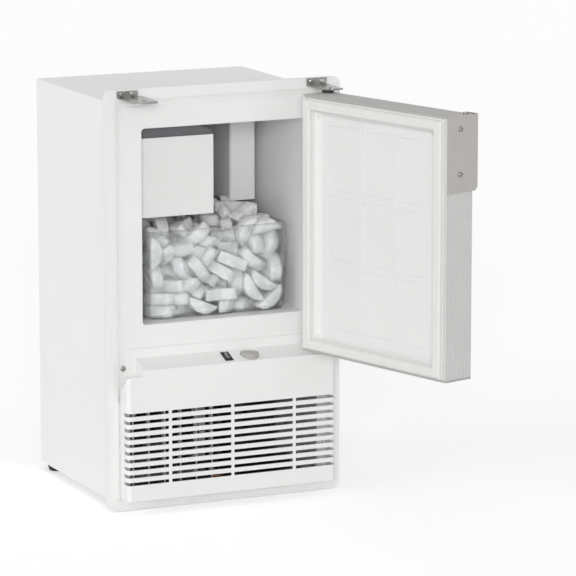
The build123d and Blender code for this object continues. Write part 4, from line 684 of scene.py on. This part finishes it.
def clear_bin():
    size = (2 * BIN_HALF, BIN_BACK - BIN_FRONT, BIN_TOP - BIN_FLOOR)
    piece = block(size, (0, BIN_MIDDLE, (BIN_FLOOR + BIN_TOP) / 2))
    piece.name = "clear_bin"
    edit(piece)

    # drafted walls, then round uprights and a round foot
    pick("FACE", lambda place, normal: normal.z < -FACING)
    bpy.ops.transform.resize(
        value=(1 - BIN_DRAFT / BIN_HALF, 1 - BIN_DRAFT / ((BIN_BACK - BIN_FRONT) / 2), 1),
        center_override=(0, BIN_MIDDLE, BIN_FLOOR),
    )
    pick("EDGE", lambda place, edge: abs(edge.verts[0].co.z - edge.verts[1].co.z) > 20 * MM)
    bpy.ops.mesh.bevel(offset=BIN_CORNER, segments=6)
    pick("EDGE", lambda place, edge: max(v.co.z for v in edge.verts) < BIN_FLOOR + 0.1 * MM)
    bpy.ops.mesh.bevel(offset=BIN_FOOT, segments=5)

    # open at the top, with a wall
    pick("FACE", lambda place, normal: normal.z > FACING)
    bpy.ops.mesh.delete(type="FACE")
    done()
    wall = piece.modifiers.new("wall", "SOLIDIFY")
    wall.thickness = BIN_WALL
    wall.offset = -1
    apply_all(piece)

    # rolled rim: the outside band below the lip is pulled out
    edit(piece)
    bpy.ops.mesh.select_all(action="SELECT")
    bpy.ops.mesh.bisect(plane_co=(0, 0, BIN_TOP - RIM_BAND), plane_no=(0, 0, 1))

    def outer_band(place, normal):
        middle = Vector((0, BIN_MIDDLE, place.z))
        above = place.z > BIN_TOP - RIM_BAND + 0.1 * MM
        return above and abs(normal.z) < 0.3 and normal.dot(place - middle) > 0

    pick("FACE", outer_band)
    bpy.ops.mesh.extrude_region_shrink_fatten(TRANSFORM_OT_shrink_fatten={"value": RIM_ROLL})
    done()
    rounded(piece, RIM_ROUND)

    clips = []
    for x in (-CLIP_X, CLIP_X):
        clip = block(CLIP_SIZE, (x, BIN_FRONT - CLIP_OUT, BIN_TOP - CLIP_DROP))
        edit(clip)
        bpy.ops.mesh.select_all(action="SELECT")
        bpy.ops.mesh.bevel(offset=CLIP_ROUND, segments=2)
        done()
        clips.append(clip)
    joined([piece] + clips)
    smooth(piece, 35)
    stand_for(piece, "ice_bin")


clear_bin()


# Ice: crescents poured into the bin. One crescent, frozen in a round-bottomed cell
CRESCENT_RADIUS, CRESCENT_CHORD, CRESCENT_WIDTH = 30 * MM, 9 * MM, 19 * MM
CRESCENT_TAPER, TAPER_Y = 0.94, 15 * MM
CRESCENT_MELT = 2.2 * MM
CRESCENT_MIDDLE = 18 * MM

# The pour: ten times the size, because rigid bodies settle poorly when they are small
POUR_SCALE = 10.0
POUR_FRAMES = 120
POUR_SEED = 11
POUR_SUBSTEPS, POUR_SOLVING = 12, 20
POUR_GRAVITY = -40
ICE_FRICTION = 0.4
SIDE_GAP = 0.5 * MM
WALL_TOP, WALL_THICK = 900 * MM, 60 * MM

# Crescents start in layers of three by three, and the last of them in pairs over the mound
POUR_COUNT = 306
MOUND_COUNT = 64
ROW, LAYER = 3, 9
FIRST_SHARE, NEXT_SHARE = 0.17, 0.33
FIRST_DROP, NEXT_DROP = 30, 46
PAIR_X, PAIR_Y = 8, 34
SCATTER = 10

# Crescents that stand above the mound's profile, or too high below the ice maker, are taken away
MOUND_PEAK = Vector((24 * MM, 96 * MM))
MOUND_TOP, MOUND_SLOPE, MOUND_CROWN = 490 * MM, 0.6, 25 * MM
UNDER_MAKER, MAKER_EAST = 449 * MM, -2 * MM


def crescent():
    """One half-moon of ice, with melted edges."""
    bpy.ops.object.select_all(action="DESELECT")
    bpy.ops.mesh.primitive_cylinder_add(
        vertices=22, radius=CRESCENT_RADIUS, depth=CRESCENT_WIDTH, location=(0, 0, 0)
    )
    piece = bpy.context.object
    edit(piece)
    bpy.ops.mesh.select_all(action="SELECT")
    bpy.ops.mesh.bisect(
        plane_co=(0, CRESCENT_CHORD, 0), plane_no=(0, 1, 0), use_fill=True, clear_inner=True
    )
    pick("FACE", lambda place, normal: abs(normal.z) > FACING)
    bpy.ops.transform.resize(
        value=(CRESCENT_TAPER, CRESCENT_TAPER, 1), center_override=(0, TAPER_Y, 0)
    )
    bpy.ops.mesh.select_all(action="SELECT")
    bpy.ops.mesh.bevel(offset=CRESCENT_MELT, segments=1)
    bpy.ops.transform.translate(value=(0, -CRESCENT_MIDDLE, 0))
    done()
    return piece


def passive_box(low, high):
    """A still wall for the pour, in the pour's enlarged scale."""
    bpy.ops.object.select_all(action="DESELECT")
    middle = [(a + b) / 2 * POUR_SCALE for a, b in zip(low, high)]
    bpy.ops.mesh.primitive_cube_add(size=1, location=middle)
    wall = bpy.context.object
    wall.scale = [(b - a) * POUR_SCALE for a, b in zip(low, high)]
    bpy.ops.object.transform_apply(location=False, rotation=False, scale=True)
    bpy.ops.rigidbody.object_add(type="PASSIVE")
    wall.rigid_body.collision_shape = "BOX"
    wall.rigid_body.friction = ICE_FRICTION
    wall.rigid_body.use_margin = True
    wall.rigid_body.collision_margin = 0.0
    return wall


def poured_ice():
    """Crescents dropped into the bin and left where they come to rest."""
    scene = bpy.context.scene
    draws = random.Random(POUR_SEED)
    master = crescent()
    inner = BIN_WALL + BIN_DRAFT + SIDE_GAP
    west, east = -BIN_HALF + inner, BIN_HALF - inner
    south, north = BIN_FRONT + inner, BIN_BACK - inner
    floor, top, thick = BIN_FLOOR + BIN_WALL, WALL_TOP, WALL_THICK
    bpy.ops.rigidbody.world_add()
    world = scene.rigidbody_world
    world.substeps_per_frame = POUR_SUBSTEPS
    world.solver_iterations = POUR_SOLVING
    scene.gravity = (0, 0, POUR_GRAVITY)
    walls = [
        passive_box(
            (west - thick, south - thick, floor - thick), (east + thick, north + thick, floor)
        ),
        passive_box((west - thick, south - thick, floor), (west, north + thick, top)),
        passive_box((east, south - thick, floor), (east + thick, north + thick, top)),
        passive_box((west, south - thick, floor), (east, south, top)),
        passive_box((west, north, floor), (east, north + thick, top)),
    ]

    pieces = []
    for number in range(POUR_COUNT + MOUND_COUNT):
        layer = number // LAYER
        x = west + (FIRST_SHARE + NEXT_SHARE * (number % ROW)) * (east - west)
        y = south + (FIRST_SHARE + NEXT_SHARE * (number // ROW % ROW)) * (north - south)
        if number >= POUR_COUNT:
            side = 1 if number % 2 else -1
            x, y = MOUND_PEAK.x + side * PAIR_X * MM, MOUND_PEAK.y + side * PAIR_Y * MM
            layer = POUR_COUNT // LAYER + (number - POUR_COUNT) // 2
        z = floor + (FIRST_DROP + NEXT_DROP * layer) * MM
        jitter = Vector(
            (draws.uniform(-SCATTER, SCATTER), draws.uniform(-SCATTER, SCATTER), 0)
        ) * MM
        piece = copy_of(master, f"crescent_{number}")
        piece.data.transform(Matrix.Scale(POUR_SCALE, 4))
        piece.location = (Vector((x, y, z)) + jitter) * POUR_SCALE
        piece.rotation_euler = Euler([draws.uniform(0, 2 * math.pi) for axis in range(3)])
        pieces.append(piece)
    bpy.ops.object.select_all(action="DESELECT")
    for piece in pieces:
        piece.select_set(True)
    bpy.context.view_layer.objects.active = pieces[0]
    bpy.ops.rigidbody.objects_add(type="ACTIVE")
    for piece in pieces:
        piece.rigid_body.collision_shape = "CONVEX_HULL"
        piece.rigid_body.mass = 1.0
        piece.rigid_body.friction = ICE_FRICTION
        piece.rigid_body.restitution = 0.0
        piece.rigid_body.linear_damping = 0.05
        piece.rigid_body.angular_damping = 0.2
        piece.rigid_body.use_margin = True
        piece.rigid_body.collision_margin = 0.0
    world.point_cache.frame_end = POUR_FRAMES
    for moment in range(1, POUR_FRAMES + 1):
        scene.frame_set(moment)
    dg = bpy.context.evaluated_depsgraph_get()
    rest = {piece.name: piece.evaluated_get(dg).matrix_world.copy() for piece in pieces}
    bpy.ops.object.select_all(action="DESELECT")
    for piece in pieces + walls:
        piece.select_set(True)
    bpy.ops.rigidbody.objects_remove()
    bpy.ops.rigidbody.world_remove()
    scene.frame_set(1)

    shrink = Matrix.Scale(1 / POUR_SCALE, 4)
    kept = []
    for piece in pieces:
        piece.matrix_world = Matrix.Identity(4)
        piece.data.transform(shrink @ rest[piece.name])
        corners = [v.co for v in piece.data.vertices]
        high = max(corner.z for corner in corners)
        near = min(corner.x for corner in corners)
        middle = sum(corners, Vector()) / len(corners)
        away = max(0, (middle.xy - MOUND_PEAK).length - MOUND_CROWN)
        if high < (UNDER_MAKER if near < MAKER_EAST else MOUND_TOP - MOUND_SLOPE * away):
            kept.append(piece)
        else:
            bpy.data.objects.remove(piece)
    for wall in walls:
        bpy.data.objects.remove(wall)
    bpy.data.objects.remove(master)
    heap = joined(kept)
    heap.name = "crescent_ice"
    bpy.context.view_layer.update()
    settle(heap)
    smooth(heap, 50)
    stand_for(heap, "ice_heap")


poured_ice()


# Studio: white floor and surround, a soft side light, a soft front light

# Light of the surround on the part, where 1 is white, and the floor's own lift in direct view
AMBIENT = 0.51
FLOOR_LIFT = 0.38
FLOOR_SIZE = 80


def shown_directly(tree):
    """One for rays that show the background itself: camera, mirror and glass rays."""
    path = add(tree, "ShaderNodeLightPath")
    shown = path.outputs["Is Camera Ray"]
    for ray in ("Is Glossy Ray", "Is Transmission Ray"):
        either = add(tree, "ShaderNodeMath", {0: shown, 1: path.outputs[ray]}, operation="MAXIMUM")
        shown = either.outputs[0]
    return shown


def white_surround():
    world = bpy.data.worlds.new("white_surround")
    bpy.context.scene.world = world
    world.use_nodes = True
    tree = world.node_tree
    level = add(
        tree,
        "ShaderNodeMapRange",
        {"Value": shown_directly(tree), "To Min": AMBIENT, "To Max": 1.0},
    )
    background = tree.nodes["Background"]
    background.inputs["Color"].default_value = (1, 1, 1, 1)
    tree.links.new(level.outputs["Result"], background.inputs["Strength"])


def studio_floor():
    bpy.ops.object.select_all(action="DESELECT")
    bpy.ops.mesh.primitive_plane_add(size=FLOOR_SIZE, location=(0, 0, 0))
    floor = bpy.context.object
    floor.name = "studio_floor"
    made, tree, shader, _ = start("white_floor_paint", Roughness=0.9, Specular_IOR_Level=0.1)
    shader.inputs["Base Color"].default_value = tone("#F4F4F4")
    shader.inputs["Emission Color"].default_value = (1, 1, 1, 1)
    glow = add(
        tree,
        "ShaderNodeMapRange",
        {"Value": shown_directly(tree), "To Min": 0.0, "To Max": FLOOR_LIFT},
    )
    tree.links.new(glow.outputs["Result"], shader.inputs["Emission Strength"])
    floor.data.materials.append(made)


def soft_sun(name, toward, spread, strength):
    """Wide even light that comes from a direction. Its spread is in degrees."""
    data = bpy.data.lights.new(name, "SUN")
    data.angle = math.radians(spread)
    data.energy = strength
    lamp = bpy.data.objects.new(name, data)
    bpy.context.scene.collection.objects.link(lamp)
    lamp.rotation_euler = Vector(toward).to_track_quat("Z", "Y").to_euler()


white_surround()
studio_floor()
soft_sun("side_light", toward=(-0.96, -0.10, 0.24), spread=50, strength=0.76)
soft_sun("front_light", toward=(-0.41, -0.89, 0.20), spread=18, strength=1.22)

# Camera, as fitted to the photograph's straight edges: its focal length in pixels of a square frame
SENSOR_WIDTH = 36
FRAME_PIXELS, FOCAL_PIXELS = 576, 3853
CAMERA_PLACE = (-2.3666, -5.3618, 1.4560)
LOOK_DOWN, LOOK_ASIDE = 10.812, 24.806


def photo_camera():
    data = bpy.data.cameras.new("photo_camera")
    data.sensor_width = SENSOR_WIDTH
    data.lens = SENSOR_WIDTH * FOCAL_PIXELS / FRAME_PIXELS
    data.clip_end = 200
    camera = bpy.data.objects.new("photo_camera", data)
    bpy.context.scene.collection.objects.link(camera)
    camera.location = CAMERA_PLACE
    camera.rotation_euler = (math.radians(90 - LOOK_DOWN), 0, math.radians(-LOOK_ASIDE))
    bpy.context.scene.camera = camera


photo_camera()
bpy.context.scene.view_settings.view_transform = "Standard"
